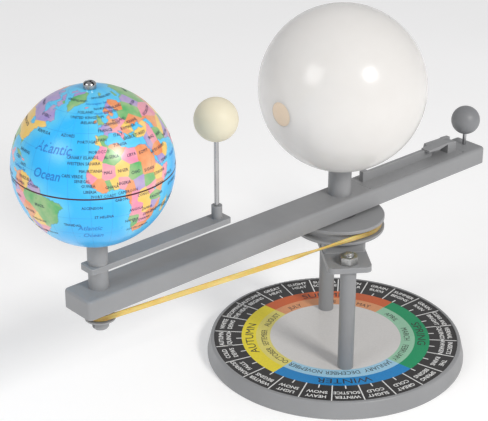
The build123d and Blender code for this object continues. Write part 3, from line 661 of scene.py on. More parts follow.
solar_terms = [
    "WINTER/SOLSTICE", "SLIGHT/COLD", "GREAT/COLD", "SPRING/BEGINS", "THE/RAINS", "INSECTS/AWAKEN",
    "VERNAL/EQUINOX", "CLEAR AND/BRIGHT", "GRAIN/RAIN", "SUMMER/BEGINS", "GRAIN/BUDS", "GRAIN/IN EAR",
    "SUMMER/SOLSTICE", "SLIGHT/HEAT", "GREAT/HEAT", "AUTUMN/BEGINS", "STOPPING/THE HEAT", "WHITE/DEWS",
    "AUTUMN/EQUINOX", "COLD/DEWS", "HOARFROST/FALLS", "WINTER/BEGINS", "LIGHT/SNOW", "HEAVY/SNOW",
]
months = ["NOVEMBER", "DECEMBER", "JANUARY", "FEBRUARY", "MARCH", "APRIL", "MAY", "JUNE", "JULY",
          "AUGUST", "SEPTEMBER", "OCTOBER"]
seasons = ["WINTER", "SPRING", "SUMMER", "AUTUMN"]

term_words = []
for number, text in enumerate(solar_terms):
    centre = year_start + field_angle * (number + 0.5)
    outer_word, inner_word = text.split("/")
    for word, share in ((outer_word, 0.925), (inner_word, 0.862)):
        stretch = min(0.98, 7.2 / len(word))
        term_words.append((word, 2.35 * mm, stretch, share * dial_radius, centre))
white_words = count_faces(lettering("dial_terms", term_words, 0.022))

dark_words = []
for number, word in enumerate(months):
    centre = year_start + field_angle * (2 * number - 1.5)
    stretch = min(0.84, 6.3 / len(word))
    dark_words.append((word, 3.1 * mm, stretch, (ring_month + 0.026) * dial_radius, centre))
for number, word in enumerate(seasons):
    centre = year_start + field_angle * (6 * number + 0.5)
    dark_words.append((word, 4.3 * mm, 1.14, (ring_season + 0.022) * dial_radius, centre))
black_words = count_faces(lettering("dial_names", dark_words, 0.0))
for thing, material in ((white_words, white_ink), (black_words, black_ink)):
    dress(thing, material)
    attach(thing, "base")

# %% [markdown]
# ## The globe's map
# The Earth is a printed ball: bright blue sea, land in map colours, and a dark red line where its
# two halves meet.  The map could be a texture, but here it is worked out.  Coasts are short outlines,
# listed in degrees of longitude and latitude.  For every point of the ball the signed distance
# to the nearest coast is stored as an attribute; the material cuts it at zero, which gives a coast
# far crisper than the grid itself.  Countries come the same way: seeds with a colour each, and for
# every colour the distance to its nearest seed.

# %% Coasts
coasts = {
    "africa": [
        (-17, 15), (-16, 20), (-13, 27), (-10, 30), (-6, 35.5), (0, 36), (10, 37), (11, 33.5), (20, 31),
        (25, 32), (33, 31), (34.5, 28), (37, 21), (40, 15), (43, 11.5), (51, 12), (47, 4), (41, -2),
        (39, -7), (40.5, -15), (35, -20), (35, -24), (32.5, -27), (30, -31), (26, -34), (20, -35),
        (18, -32), (15, -27), (12, -18), (13.5, -12), (12, -5), (9, 0), (9.5, 4), (5, 6), (-3, 5),
        (-8, 4.5), (-13, 8.5), (-16.5, 12),
    ],
    "eurasia": [
        (-9, 37), (-9.5, 39), (-9, 43), (-2, 43.5), (-1.5, 46), (-4.5, 48.5), (2, 51), (8, 54), (8, 57),
        (10.5, 57.5), (10.5, 54.5), (14, 54), (20, 54.5), (22, 58), (29, 60), (23, 60), (21.5, 63),
        (25, 65.5), (18, 61), (17, 57), (13, 55.5), (11, 59), (6, 58.5), (5, 62), (14, 67.5), (25, 71),
        (32, 70), (41, 67), (38, 64.5), (44, 66), (54, 68.5), (68, 68.5), (68, 73), (73, 72), (81, 73),
        (100, 77.5), (113, 74), (130, 71.5), (150, 71.5), (170, 69.5), (180, 68.5), (178, 64.5),
        (163, 59.5), (162, 55), (156.5, 51.5), (155.5, 57), (163, 62), (155, 59.5), (142, 59),
        (136, 54.5), (141, 52.5), (140, 48), (131.5, 43), (128, 40), (129.5, 36), (126.5, 34.5),
        (125, 38.5), (121.5, 40.5), (118, 38.5), (122, 37), (119.5, 35), (122, 31), (119, 25.5),
        (110, 21), (106, 20), (109, 13), (105, 9), (101, 13), (99, 10), (103.5, 1.5), (100.5, 4),
        (98.5, 9), (97.5, 16.5), (94, 16.5), (91, 22.5), (87, 21), (80, 15), (80, 11), (77.5, 8),
        (73, 17), (72.5, 21), (67, 24.5), (61.5, 25), (57, 26.5), (52, 27.5), (48.5, 30), (51, 25),
        (56.5, 24.5), (59.5, 22.5), (55, 17.5), (45, 13), (43, 13.5), (39, 21), (35, 28), (34.5, 31),
        (36, 36.5), (30, 36.5), (27, 37.5), (26.5, 40), (29.5, 41), (35, 42), (41.5, 41.5), (37, 45),
        (40, 47), (33.5, 44.5), (31, 46.5), (28, 44), (28, 41.5), (23, 40.5), (23.5, 37.5), (21.5, 37),
        (19.5, 41.5), (13.5, 45.5), (12.5, 44), (18.5, 40), (16, 38), (12, 42), (8.5, 44.5), (3.5, 43.3),
        (3, 41.5), (-0.5, 38.5), (-2, 36.8), (-5.5, 36),
    ],
    "north_america": [
        (-168, 66), (-162, 70.5), (-141, 69.7), (-128, 70.5), (-115, 68), (-108, 68), (-95, 72),
        (-94, 69), (-82, 69.5), (-82, 67), (-87, 64.5), (-94, 61), (-94.5, 58.5), (-88, 56.5), (-82, 55),
        (-80, 51.5), (-79, 54.5), (-77, 57), (-78, 62), (-72, 61.5), (-69.5, 58.5), (-65, 60), (-61, 56),
        (-56, 52), (-60, 50), (-66, 50), (-64.5, 48.5), (-61, 46), (-66, 43.5), (-70.5, 43), (-70, 41.5),
        (-74, 40.5), (-76, 37), (-76, 35), (-81, 31.5), (-80, 26), (-81.5, 25.5), (-83, 29.5),
        (-89.5, 30), (-94, 29.5), (-97.5, 27), (-97.5, 22), (-94.5, 18), (-91, 18.5), (-90, 21),
        (-87, 21.5), (-88.5, 16), (-83.5, 15), (-83.5, 10.5), (-78, 9), (-77.5, 7.5), (-80, 7.3),
        (-84, 9), (-87, 12.5), (-94, 16), (-101, 17.5), (-105.5, 20.5), (-108, 25.5), (-112.5, 30),
        (-114.7, 31.5), (-112, 27), (-109.5, 23), (-112, 25), (-115, 28.5), (-117, 32.5), (-120.5, 34.5),
        (-124, 40), (-124.5, 48), (-128, 51), (-133, 56), (-139, 59.5), (-147, 61), (-152, 59.5),
        (-158, 56.5), (-164, 54.5), (-158, 58.5), (-165, 61.5), (-161, 64.5),
    ],
    "south_america": [
        (-77.5, 7.5), (-72, 12), (-62, 10.5), (-57, 6), (-51, 4.5), (-50, 0), (-44, -2.5), (-37, -4.5),
        (-35, -7.5), (-38.5, -13), (-39, -18), (-41, -22), (-48, -26), (-48.5, -28.5), (-53.5, -34),
        (-58, -34.5), (-57.5, -38), (-62, -39), (-65, -42), (-67.5, -46.5), (-68.5, -51.5), (-65.5, -55),
        (-72, -54), (-75.5, -48), (-73.5, -40), (-71.5, -30), (-70, -20), (-76, -14), (-81, -6),
        (-80, -2.5), (-79, 1.5),
    ],
    "greenland": [
        (-45, 60), (-52, 64.5), (-54, 69.5), (-60, 75.5), (-70, 77), (-62, 81), (-35, 83.5), (-18, 81),
        (-20, 75), (-23, 70.5), (-33, 68), (-40, 65),
    ],
    "baffin": [
        (-65, 62), (-72, 63.5), (-78, 65), (-73, 68), (-88, 70.5), (-88, 73.5), (-78, 73), (-68, 70),
        (-62, 66.5),
    ],
    "victoria": [(-115, 69.5), (-105, 69), (-103, 73), (-118, 73)],
    "ellesmere": [(-80, 76.5), (-90, 78), (-92, 81.5), (-65, 82.5), (-75, 78.5)],
    "iceland": [(-24, 65.5), (-22, 64), (-14.5, 65), (-16, 66.5)],
    "britain": [
        (-5.5, 50), (1.5, 51.5), (0, 53.5), (-2, 56), (-3.5, 58.5), (-6, 57.5), (-3, 54), (-5, 52),
    ],
    "ireland": [(-10, 52), (-6, 52.5), (-6, 55), (-9.5, 54)],
    "spitsbergen": [(12, 77), (17, 76.5), (28, 78), (25, 80)],
    "novaya": [(52, 71), (57, 71), (68, 76.5), (62, 76)],
    "madagascar": [(44, -17), (49.5, -12.5), (50, -16), (47, -25), (44, -24.5)],
    "lanka": [(80, 9.5), (81.8, 7.5), (80.5, 6)],
    "japan": [
        (130.5, 31.5), (135, 34), (140.5, 36), (141.5, 41), (145, 43.5), (141.5, 45.5), (140, 41),
        (137, 37), (132, 35),
    ],
    "borneo": [(109, 1.5), (117, 7), (119, 4.5), (116, -4), (110.5, -3)],
    "sumatra": [(95.5, 5.5), (104, -2), (106, -6), (102, -4), (98, 1)],
    "java": [(105.5, -6.5), (114.5, -7.5), (114, -8.7), (106.5, -7.5)],
    "guinea": [(131, -1), (141, -2.5), (150.5, -10), (143, -9), (138, -8), (133, -4)],
    "celebes": [(119.5, 0), (125, 1.5), (121.5, -1), (122.5, -5), (119.5, -4)],
    "luzon": [(120.5, 18.5), (122, 16), (126.5, 7.5), (122.5, 7), (120, 14)],
    "cuba": [(-85, 22), (-80, 23), (-74.5, 20), (-78, 20)],
    "haiti": [(-74, 19.8), (-68.5, 18.8), (-72, 18)],
    "australia": [
        (114, -22), (113.5, -26), (115.5, -34), (118, -35), (124, -33), (131, -31.5), (138, -35),
        (140.5, -38), (147, -38.5), (150, -37), (153.5, -29), (153, -25), (149, -21), (146, -18.5),
        (145.5, -15), (142.5, -11), (141, -17), (139, -17.5), (135.5, -15), (136.5, -12), (131, -11.5),
        (129, -15), (125.5, -14), (122, -18),
    ],
    "tasmania": [(145, -41), (148.3, -41), (147, -43.5)],
    "new_zealand": [
        (172.8, -34.5), (178.5, -38), (174.5, -41.5), (170, -46.5), (166.5, -45.5), (172.5, -40.5),
    ],
    "antarctica": [
        (-181, -78), (-150, -77), (-120, -74), (-100, -73), (-75, -73), (-65, -66), (-58, -63.5),
        (-62, -72), (-60, -76), (-30, -78), (-10, -71), (30, -69.5), (60, -67), (90, -66.5), (120, -67),
        (145, -67.5), (165, -71), (165, -78), (181, -78), (181, -91), (-181, -91),
    ],
}
lakes = {
    "caspian": [(47, 45), (53, 46), (54, 41), (54, 37), (49, 37.5), (50, 41)],
    "great_lakes": [(-92, 47), (-85, 48), (-79, 43.5), (-83, 42), (-86, 45), (-87.5, 42), (-88, 46)],
    "victoria_lake": [(32, 0), (34.5, 0), (33, -2.7)],
    "baikal": [(104, 51.5), (110, 56), (109, 53)],
}
print(sum(len(outline) for outline in coasts.values()), "coast points")

# %% [markdown]
# Each seed is a longitude and a latitude, listed under its print colour.  Large countries have
# several seeds of one colour.

# %% Country seeds
seeds = {
    "pink": [
        (-89, 15), (-71, 19), (-18, 65), (-76, -9), (-56, -33), (13, 43), (20, 52), (66, 48), (44, 33),
        (79, 22), (138, 37), (145, -6), (122, 12), (125, -25), (135, -25), (147, -27), (147, -42),
        (-7, 32), (-2, 18), (17, 27), (46, 6), (48, 9), (8, 9), (-14, 14), (15, -1), (18, -12), (24, -22),
        (31, 1),
    ],
    "yellow": [
        (-120, 42), (-100, 41), (-84, 38), (-72, 43), (-66, 7), (-58, -23), (-72, -32), (-8, 39),
        (25, 46), (35, 39), (65, 34), (54, 20), (95, 36), (108, 33), (118, 42), (102, 3), (-13, 24),
        (-10, 19), (9, 18), (39, 9), (2, 9), (23, -3), (27, -13), (47, -20),
    ],
    "green": [
        (-102, 25), (-79, 22), (-40, 72), (-55, -8), (-45, -10), (-60, -3), (-50, -20), (-3, 54),
        (-4, 40), (26, 54), (22, 39), (45, 58), (80, 62), (100, 64), (120, 64), (140, 64), (165, 66),
        (54, 32), (80, 8), (84, 28), (96, 21), (114, 0), (173, -41), (2, 28), (18, 15), (-1, 8), (29, 7),
        (34, -6), (17, -22), (15, 78), (60, 74),
    ],
    "orange": [
        (-152, 65), (-83, 10), (-73, 4), (-65, -17), (-8, 53), (10, 51), (9, 61), (26, 64), (31, 49),
        (21, 43), (60, 40), (46, 24), (105, 46), (107, 15), (102, -2), (110, -7), (121, -2), (136, -4),
        (28, 27), (30, 15), (38, 0), (-10, 10), (-5, 7), (13, 5), (12, -1), (37, -16), (30, -19),
        (24, -30), (9, 34),
    ],
    "purple": [
        (-110, 58), (-95, 58), (-75, 52), (-65, 56), (-125, 58), (-80, 78), (-112, 71), (-58, 4),
        (-79, -1), (-65, -32), (-68, -45), (2, 47), (16, 63), (60, 62), (45, 15), (38, 33), (69, 30),
        (127, 38), (101, 15), (20, 7), (33, -13),
    ],
}
print(sum(len(spots) for spots in seeds.values()), "country seeds")

# %% Distances over the sphere


def inside(lon, lat, outline):
    """True where a point is inside an outline: counts the outline's crossings to the east."""
    x, y = np.array(outline, float).T
    x2, y2 = np.roll(x, -1), np.roll(y, -1)
    crosses = (y[:, None] > lat) != (y2[:, None] > lat)
    slope = (x2 - x) / np.where(y2 == y, 1e-9, y2 - y)
    at = x[:, None] + slope[:, None] * (lat - y[:, None])
    return (np.sum(crosses & (lon < at), axis=0) % 2) == 1


def distance_to(lon, lat, outline):
    """Degrees from each point to the nearest edge, with longitudes shortened by latitude."""
    x, y = np.array(outline, float).T
    x2, y2 = np.roll(x, -1), np.roll(y, -1)
    shrink = np.cos(np.radians(lat))
    px, py = (lon - x[:, None]) * shrink, lat - y[:, None]
    ex, ey = (x2 - x)[:, None] * shrink, np.broadcast_to((y2 - y)[:, None], (len(x), len(lat)))
    along = np.clip((px * ex + py * ey) / (ex ** 2 + ey ** 2 + 1e-12), 0, 1)
    return np.sqrt(np.min((px - along * ex) ** 2 + (py - along * ey) ** 2, axis=0))


def signed_distance(lon, lat, outline):
    """Degrees to the outline's nearest edge: positive inside it, negative outside."""
    return distance_to(lon, lat, outline) * np.where(inside(lon, lat, outline), 1, -1)


def coast_field(lon, lat):
    """Signed degrees to the nearest coast: positive on land, negative at sea."""
    field = np.full(lon.shape, -90.0)
    for outline in coasts.values():
        field = np.maximum(field, signed_distance(lon, lat, outline))
    for outline in lakes.values():
        field = np.minimum(field, -signed_distance(lon, lat, outline))
    return field


def sphere_vectors(lon, lat):
    """Unit vectors of longitudes and latitudes in degrees."""
    lon, lat = np.radians(lon), np.radians(lat)
    return np.stack([np.cos(lat) * np.cos(lon), np.cos(lat) * np.sin(lon), np.sin(lat)], axis=-1)


def colour_fields(lon, lat):
    """For each print colour, minus the degrees to its nearest seed: the largest one wins."""
    here = sphere_vectors(lon, lat)
    fields = []
    for spots in seeds.values():
        chosen = np.array(spots, float)
        cosine = here @ sphere_vectors(chosen[:, 0], chosen[:, 1]).T
        fields.append(-np.degrees(np.arccos(np.clip(cosine.max(axis=1), -1, 1))))
    return np.stack(fields, axis=1)


# %% [markdown]
# A half of the globe is one closed shell: the outer arc from the pole to the equator, then the
# inner arc back.  Both poles keep the small hole that the axle or the spindle passes through.

# %% Globe halves
map_turn = -113.5        # where longitude zero lies, in degrees from +X
globe_wall = 1.3 * mm
map_radius = globe_radius - 0.05 * mm
outer_rows, inner_rows, globe_columns = 110, 14, 360
equator_gap = 0.12       # degrees left open under the seam line
open_sea = -20.0         # map value of the unseen inner wall


def globe_shell(name, sign, hole):
    """Half ball: the profile (radius cos lat, radius sin lat) of both walls carried round the axis."""
    edge = np.degrees(np.arccos(hole / map_radius))
    outer = np.linspace(edge, equator_gap, outer_rows) * sign
    inner = np.linspace(equator_gap, edge - 0.2, inner_rows) * sign
    lat = np.concatenate([outer, inner])
    rise = np.radians(lat)
    wall = np.repeat([map_radius, map_radius - globe_wall], [outer_rows, inner_rows])
    points = turned_points(wall * np.cos(rise), wall * np.sin(rise), globe_columns)
    points += np.array([earth_x, 0, equator_z])
    faces = grid_faces(len(lat), globe_columns, close_rows=True, close_columns=True)
    if sign > 0:
        faces = faces[:, ::-1]
    thing = add_object(name, points.reshape(-1, 3), faces[:, ::-1])
    azimuth = np.degrees(np.linspace(0, 2 * np.pi, globe_columns, endpoint=False))
    lon_grid = (np.tile(azimuth, len(lat)) - map_turn + 180) % 360 - 180
    lat_grid = np.repeat(lat, globe_columns)
    land = coast_field(lon_grid, lat_grid)
    land[outer_rows * globe_columns:] = open_sea
    tints = colour_fields(lon_grid, lat_grid)
    store_vector(thing, "map_land", np.stack([land, lon_grid, lat_grid], axis=1))
    store_vector(thing, "map_tint_a", tints[:, 0:3])
    store_vector(thing, "map_tint_b", np.stack([tints[:, 3], tints[:, 4], lat_grid], axis=1))
    return count_faces(thing)


def store_vector(thing, name, values):
    """Stores three numbers per point as a named attribute."""
    attribute = thing.data.attributes.new(name, "FLOAT_VECTOR", "POINT")
    attribute.data.foreach_set("vector", values.astype(np.float32).ravel())


north = globe_shell("globe_north_map", 1, hole=1.6 * mm)
south = globe_shell("globe_south_map", -1, hole=3.1 * mm)

# %% [markdown]
# ### The map's ink
# The material reads the stored distances.  A little noise is added before the cut, so coasts and
# borders wander as drawn ones do.  The winning colour is found by comparing the five distances in
# turn.  Fine meridians and parallels come from longitude and latitude, and shallow seas are paler.

# %% Map material


def map_ink():
    """Printed and varnished globe skin."""
    finish = Finish("globe_ink", Coat_Weight=0.4, Coat_Roughness=0.26, Specular_IOR_Level=0.4)

    def stored(name):
        source = finish.node("ShaderNodeAttribute", attribute_name=name)
        split = finish.node("ShaderNodeSeparateXYZ")
        finish.link(source.outputs["Vector"], split.inputs[0])
        return split.outputs

    land, longitude, latitude = stored("map_land")
    first = stored("map_tint_a")
    second = stored("map_tint_b")
    jitter = finish.noise(420.0, 4.0, 0.6)
    wander = finish.between(jitter, -1.5, 1.5, 0.2, 0.8)
    height = finish.math("ADD", land, wander)
    inks = [(0.78, 0.24, 0.40), (0.85, 0.55, 0.10), (0.10, 0.42, 0.14), (0.78, 0.24, 0.08),
            (0.33, 0.25, 0.62)]
    best, colour = first[0], inks[0]
    for field, other in zip((first[1], first[2], second[0], second[1]), inks[1:]):
        shift = finish.math("MULTIPLY", wander, 0.6)
        wins = finish.math("GREATER_THAN", field, finish.math("ADD", best, shift))
        colour = finish.blend(wins, colour, other)
        best = finish.math("MAXIMUM", field, best)
    tone = finish.between(finish.noise(160.0, 3.0), 0.0, 0.35)
    colour = finish.blend(tone, colour, (0.86, 0.72, 0.45))
    polar = finish.between(latitude, 1.0, 0.0, -64.0, -60.0)
    colour = finish.blend(polar, colour, (0.80, 0.84, 0.86))
    grid_step = 15.0
    deep = finish.between(land, 1.0, 0.0, -9.0, -1.0)
    sea = finish.blend(deep, (0.10, 0.56, 0.86), (0.022, 0.46, 0.92))
    for angle in (longitude, latitude):
        part = finish.math("PINGPONG", finish.math("ADD", angle, 360.0), grid_step / 2)
        thin = finish.between(part, 0.5, 0.0, 0.10, 0.22)
        sea = finish.blend(thin, sea, (0.02, 0.22, 0.60))
    shore = finish.between(height, 0.0, 1.0, -0.12, 0.12)
    print_colour = finish.blend(shore, sea, colour)
    rim = finish.math("ABSOLUTE", height)
    outline = finish.between(rim, 0.55, 0.0, 0.05, 0.30)
    finish.colour(finish.blend(outline, print_colour, (0.05, 0.13, 0.28)))
    finish.rough(finish.between(finish.noise(60.0), 0.26, 0.36))
    finish.bump(finish.noise(35.0, 2.0), 0.12 * mm, 0.18)
    return finish.material


globe_ink = map_ink()
for thing, node in ((north, "globe_north"), (south, "globe_south")):
    dress(thing, globe_ink)
    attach(thing, "earth_spindle")
    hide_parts(node)

# %% [markdown]
# ### Names on the globe
# A school globe is crowded with small dark names, and the oceans have large blue ones.  They are
# the same bent words as on the dial, bent the other way: x runs along a parallel and y along a
# meridian.  They lie just proud of the map, below the ball's own greatest radius.

# %% Names
land_names = [
    ("ALASKA", -153, 65), ("CANADA", -105, 57), ("QUEBEC", -72, 53), ("UNITED STATES", -98, 40),
    ("MEXICO", -103, 24), ("CUBA", -79, 19), ("GREENLAND", -42, 72), ("ICELAND", -19, 61.5),
    ("BAHAMAS", -72, 25), ("HAITI", -70, 16), ("COLOMBIA", -73, 3), ("VENEZUELA", -66, 7.5),
    ("GUYANA", -58, 4.5), ("PERU", -76, -9), ("BRAZIL", -53, -9), ("BOLIVIA", -65, -17),
    ("PARAGUAY", -58, -23), ("ARGENTINA", -65, -35), ("CHILE", -76, -30), ("URUGUAY", -52, -34),
    ("ECUADOR", -84, -2), ("IRELAND", -15, 53), ("UNITED KINGDOM", -17, 57), ("PORTUGAL", -16, 39),
    ("SPAIN", -4, 40), ("FRANCE", 1, 46.5), ("GERMANY", 10, 50.5), ("ITALY", 12, 42), ("NORWAY", 6, 64),
    ("SWEDEN", 16, 60), ("FINLAND", 27, 63), ("POLAND", 20, 52.3), ("UKRAINE", 32, 48.7),
    ("ROMANIA", 25, 45.5), ("GREECE", 21, 38.5), ("TURKEY", 34, 38.5), ("RUSSIA", 60, 59),
    ("SIBERIA", 100, 64), ("KAZAKHSTAN", 67, 48), ("MONGOLIA", 103, 46), ("CHINA", 103, 34),
    ("JAPAN", 144, 35), ("KOREA", 133, 38), ("INDIA", 79, 21), ("PAKISTAN", 66, 28), ("IRAN", 54, 32),
    ("IRAQ", 43, 33), ("SAUDI ARABIA", 45, 24), ("YEMEN", 48, 15), ("MYANMAR", 93, 20),
    ("THAILAND", 101, 14), ("VIETNAM", 110, 15), ("PHILIPPINES", 131, 12), ("MALAYSIA", 104, 5),
    ("INDONESIA", 113, -5), ("SRI LANKA", 84, 6), ("NEW GUINEA", 143, -5), ("AUSTRALIA", 134, -25),
    ("TASMANIA", 147, -45.5), ("NEW ZEALAND", 173, -44), ("MADAGASCAR", 54, -20),
    ("CANARY ISLANDS", -20, 28.5), ("CAPE VERDE", -27, 16), ("AZORES", -34, 43), ("BERMUDA", -60, 42),
    ("WESTERN SAHARA", -19, 24.5), ("MOROCCO", -7, 32), ("ALGERIA", 2, 28), ("TUNISIA", 11, 35.2),
    ("LIBYA", 18, 27), ("EGYPT", 29, 26.5), ("MAURITANIA", -14, 19.5), ("MALI", -2, 18), ("NIGER", 9, 18),
    ("CHAD", 18.5, 15), ("SUDAN", 30, 14), ("SENEGAL", -20, 12.8), ("GUINEA", -16, 9.5),
    ("LIBERIA", -15, 5.5), ("IVORY COAST", -6, 2.0), ("GHANA", 0, 8), ("NIGERIA", 8.5, 9.5),
    ("CAMEROON", 11, 3), ("ETHIOPIA", 39.5, 9), ("SOMALIA", 50, 4), ("KENYA", 38, 0.7), ("CONGO", 23, -2),
    ("GABON", 6, -2), ("ANGOLA", 17.5, -12), ("ZAMBIA", 27, -14), ("TANZANIA", 35, -6.5),
    ("MOZAMBIQUE", 40, -18), ("NAMIBIA", 15, -21), ("BOTSWANA", 24, -23), ("ZIMBABWE", 31, -19),
    ("SOUTH AFRICA", 23, -30.5), ("ST HELENA", -6, -14), ("ASCENSION", -14, -6.5),
    ("TRINIDAD", -29, -21.5), ("MAURITIUS", 60, -17), ("SEYCHELLES", 56, -4), ("MALDIVES", 72, 3),
    ("HAWAII", -157, 22), ("FIJI", 178, -15.5), ("SAMOA", -171, -11.5), ("TAHITI", -150, -15),
    ("GALAPAGOS", -93, 3), ("SPITSBERGEN", 20, 75), ("FALKLANDS", -59, -53.5), ("ANTARCTICA", 60, -78),
    ("CHAGOS", 73, -8.5),
]
sea_names = [
    ("Atlantic", -44, 33, 4.3), ("Ocean", -46, 15, 4.0), ("Atlantic", -16, -24, 2.6),
    ("Ocean", -14, -32, 2.6), ("Pacific", 172, 24, 3.2), ("Ocean", 174, 10, 3.2),
    ("Pacific", -118, -12, 3.2), ("Ocean", -116, -25, 3.2), ("Indian", 78, -18, 3.0),
    ("Ocean", 79, -30, 3.0), ("Southern Ocean", 100, -59, 2.2), ("Arabian Sea", 64, 14, 1.4),
    ("Bay of Bengal", 88, 13, 1.3), ("Caribbean Sea", -74, 13, 1.3), ("Tasman Sea", 161, -37, 1.4),
    ("North Sea", 2, 59.8, 1.1), ("Norwegian Sea", 0, 69, 1.2),
]


def bend_on_globe(points, lon, lat, height):
    """Bends flat lettering on the ball: longitude grows by x / (r cos lat), latitude by y / r."""
    north_turn = np.radians(lat) + points[:, 1] / map_radius
    east_turn = np.radians(lon + map_turn) + points[:, 0] / (map_radius * np.cos(np.radians(lat)))
    radius = map_radius + height + points[:, 2]
    x = earth_x + radius * np.cos(north_turn) * np.cos(east_turn)
    y = radius * np.cos(north_turn) * np.sin(east_turn)
    return np.stack([x, y, equator_z + radius * np.sin(north_turn)], axis=1)


def globe_names(name, words, lowest, highest, roundness=1, slant=0.0):
    """One object from the names whose latitude is in a range; slant shears x by y for italics."""
    pieces = []
    for text, lon, lat, size in words:
        if not lowest <= lat < highest:
            continue
        points, faces = word_mesh(text, size * mm, stretch=0.86, weight=0.016,
                                  roundness=roundness, depth=0.016 * mm)
        points[:, 1] -= size * mm / 2
        points[:, 0] += slant * points[:, 1]
        pieces.append((bend_on_globe(points, lon, lat, 0.025 * mm), faces))
    return count_faces(joined(name, pieces))


small_size = 1.3         # capitals of the land names, in millimetres
small_names = [(text, lon, lat, small_size) for text, lon, lat in land_names]
name_ink = ink("name_ink", (0.018, 0.028, 0.07))
ocean_ink = ink("ocean_ink", (0.02, 0.20, 0.58))
named = [
    (globe_names("land_names_north", small_names, 0, 90), name_ink, "globe_north"),
    (globe_names("land_names_south", small_names, -90, 0), name_ink, "globe_south"),
    (globe_names("sea_names_north", sea_names, 0, 90, 3, 0.25), ocean_ink, "globe_north"),
    (globe_names("sea_names_south", sea_names, -90, 0, 3, 0.25), ocean_ink, "globe_south"),
]
for thing, material, node in named:
    dress(thing, material)
    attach(thing, "earth_spindle")

# %% [markdown]
# ### The red seam
# A thin dark-red line covers the joint of the halves.  It is a flat ring with rounded edges: an
# ellipse carried round the equator.

# %% Equator seam


def seam_ring():
    """Flat ellipse section carried round the equator, just inside the globe's radius."""
    half_height, half_depth, section_points = 0.42 * mm, 0.115 * mm, 12
    turn = np.linspace(0, 2 * np.pi, section_points, endpoint=False)
    radius = globe_radius - 0.12 * mm + half_depth * np.cos(turn)
    points = turned_points(radius, half_height * np.sin(turn), globe_columns)
    points += np.array([earth_x, 0, equator_z])
    faces = grid_faces(section_points, globe_columns, close_rows=True, close_columns=True)
    return add_object("globe_seam", points.reshape(-1, 3), faces[:, ::-1])


seam = count_faces(seam_ring())
dress(seam, ink("seam_ink", (0.05, 0.006, 0.010)))
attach(seam, "earth_spindle")

# %% [markdown]
# ## The rubber band
# The band runs round the big fixed pulley and the small one below the Earth.  Real bands are never
# flat all the way: in the free stretches this one rolls a little, so its section turns slowly
# about its own line and comes back flat at each pulley.  The route is two arcs and two tangents,
# worked out from the pulleys' sizes.

# %% Band route
band_low, band_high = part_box("drive_belt")
band_thick = 1.0 * mm
band_wide = 2.6 * mm
big_radius = (band_high.y - band_low.y) / 2 - band_thick / 2
small_radius = abs(band_low.x - earth_x) - band_thick / 2
axle_distance = -earth_x
big_z = band_low.z + band_wide / 2 + 0.17 * mm
small_z = band_high.z - band_wide / 2 - 0.05 * mm


def band_route(steps=64):
    """Closed route of tangent, arc, tangent, arc, with each point's degrees of roll and a mask: 1 in the
    free stretches, 0 on the arcs, where the band gets painted shade.
    """
    lean = np.arcsin((big_radius - small_radius) / axle_distance)
    line = np.linspace(0, 1, 3 * steps, endpoint=False)[:, None]
    big_turn = np.linspace(np.pi / 2 + lean, -np.pi / 2 - lean, 2 * steps, endpoint=False)
    small_turn = np.linspace(-np.pi / 2 - lean, -3 * np.pi / 2 + lean, steps, endpoint=False)
    big_arc = big_radius * np.stack([np.cos(big_turn), np.sin(big_turn)], axis=1)
    small_arc = small_radius * np.stack([np.cos(small_turn), np.sin(small_turn)], axis=1)
    small_arc += [earth_x, 0]
    start = small_arc[0]
    leave = big_radius * np.array([np.cos(-np.pi / 2 - lean), np.sin(-np.pi / 2 - lean)])
    first = np.array([start[0], -start[1]])
    there = first + line * (big_arc[0] - first)
    back_line = leave + line * (start - leave)
    flat = np.concatenate([there, big_arc, back_line, small_arc])
    share = line[:, 0]
    gentle = 24.0 * np.sin(np.pi * share) ** 2
    steep = gentle - 66.0 * np.exp(-((share - 0.19) / 0.11) ** 2) * np.sin(np.pi * share) ** 0.3
    roll = np.concatenate([gentle, np.zeros(2 * steps), steep, np.zeros(steps)])
    # The mask is 1 along the free stretches and 0 on the arcs; the material paints shade on the band
    # where it is 0.
    ramp = np.clip(5 * np.sin(np.pi * share) + 0.1, 0, 1)
    free = np.concatenate([ramp, np.zeros(2 * steps), ramp, np.zeros(steps)])
    return flat, roll, free


def band_surface():
    """Rounded-rectangle section carried along the route and rolled about it in the free stretches."""
    flat, roll, free = band_route()
    height = big_z + (small_z - big_z) * (-flat[:, 0] / axle_distance)
    centre = np.column_stack([flat, height])
    ahead = np.roll(centre, -1, axis=0) - np.roll(centre, 1, axis=0)
    ahead /= np.linalg.norm(ahead, axis=1)[:, None]
    upward = np.array([0, 0, 1.0])
    outward = np.cross(upward, ahead)
    outward /= np.linalg.norm(outward, axis=1)[:, None]
    section_points = 16
    turn = np.linspace(0, 2 * np.pi, section_points, endpoint=False)
    wide = band_wide / 2 * np.sign(np.sin(turn)) * np.abs(np.sin(turn)) ** 0.5
    thick = band_thick / 2 * np.sign(np.cos(turn)) * np.abs(np.cos(turn)) ** 0.5
    angle = np.radians(roll)[:, None]
    side = thick * np.cos(angle) - wide * np.sin(angle)
    rise = thick * np.sin(angle) + wide * np.cos(angle)
    points = centre[:, None] + side[..., None] * outward[:, None] + rise[..., None] * upward
    faces = grid_faces(len(flat), section_points, close_rows=True, close_columns=True)
    thing = add_object("rubber_band", points.reshape(-1, 3), faces)
    # Stored for the material: where it is 0, on the wheels, the band is painted darker as shade in the
    # grooves.
    attribute = thing.data.attributes.new("lit_free_span", "FLOAT", "POINT")
    attribute.data.foreach_set("value", np.repeat(free, section_points))
    return thing


band = count_faces(band_surface())
dress(band, finishes["yellow_rubber"])
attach(band, "arm")
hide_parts("drive_belt")

# %% [markdown]
# ## Threaded bolts
# The two long bolts end in bare thread above their nuts.  A thread is a surface of two parameters,
# angle and height: the radius dips by a triangle wave whose phase is the height in pitches plus
# the angle in turns, which makes it a helix.  It fades in near the head, where the shank is plain.

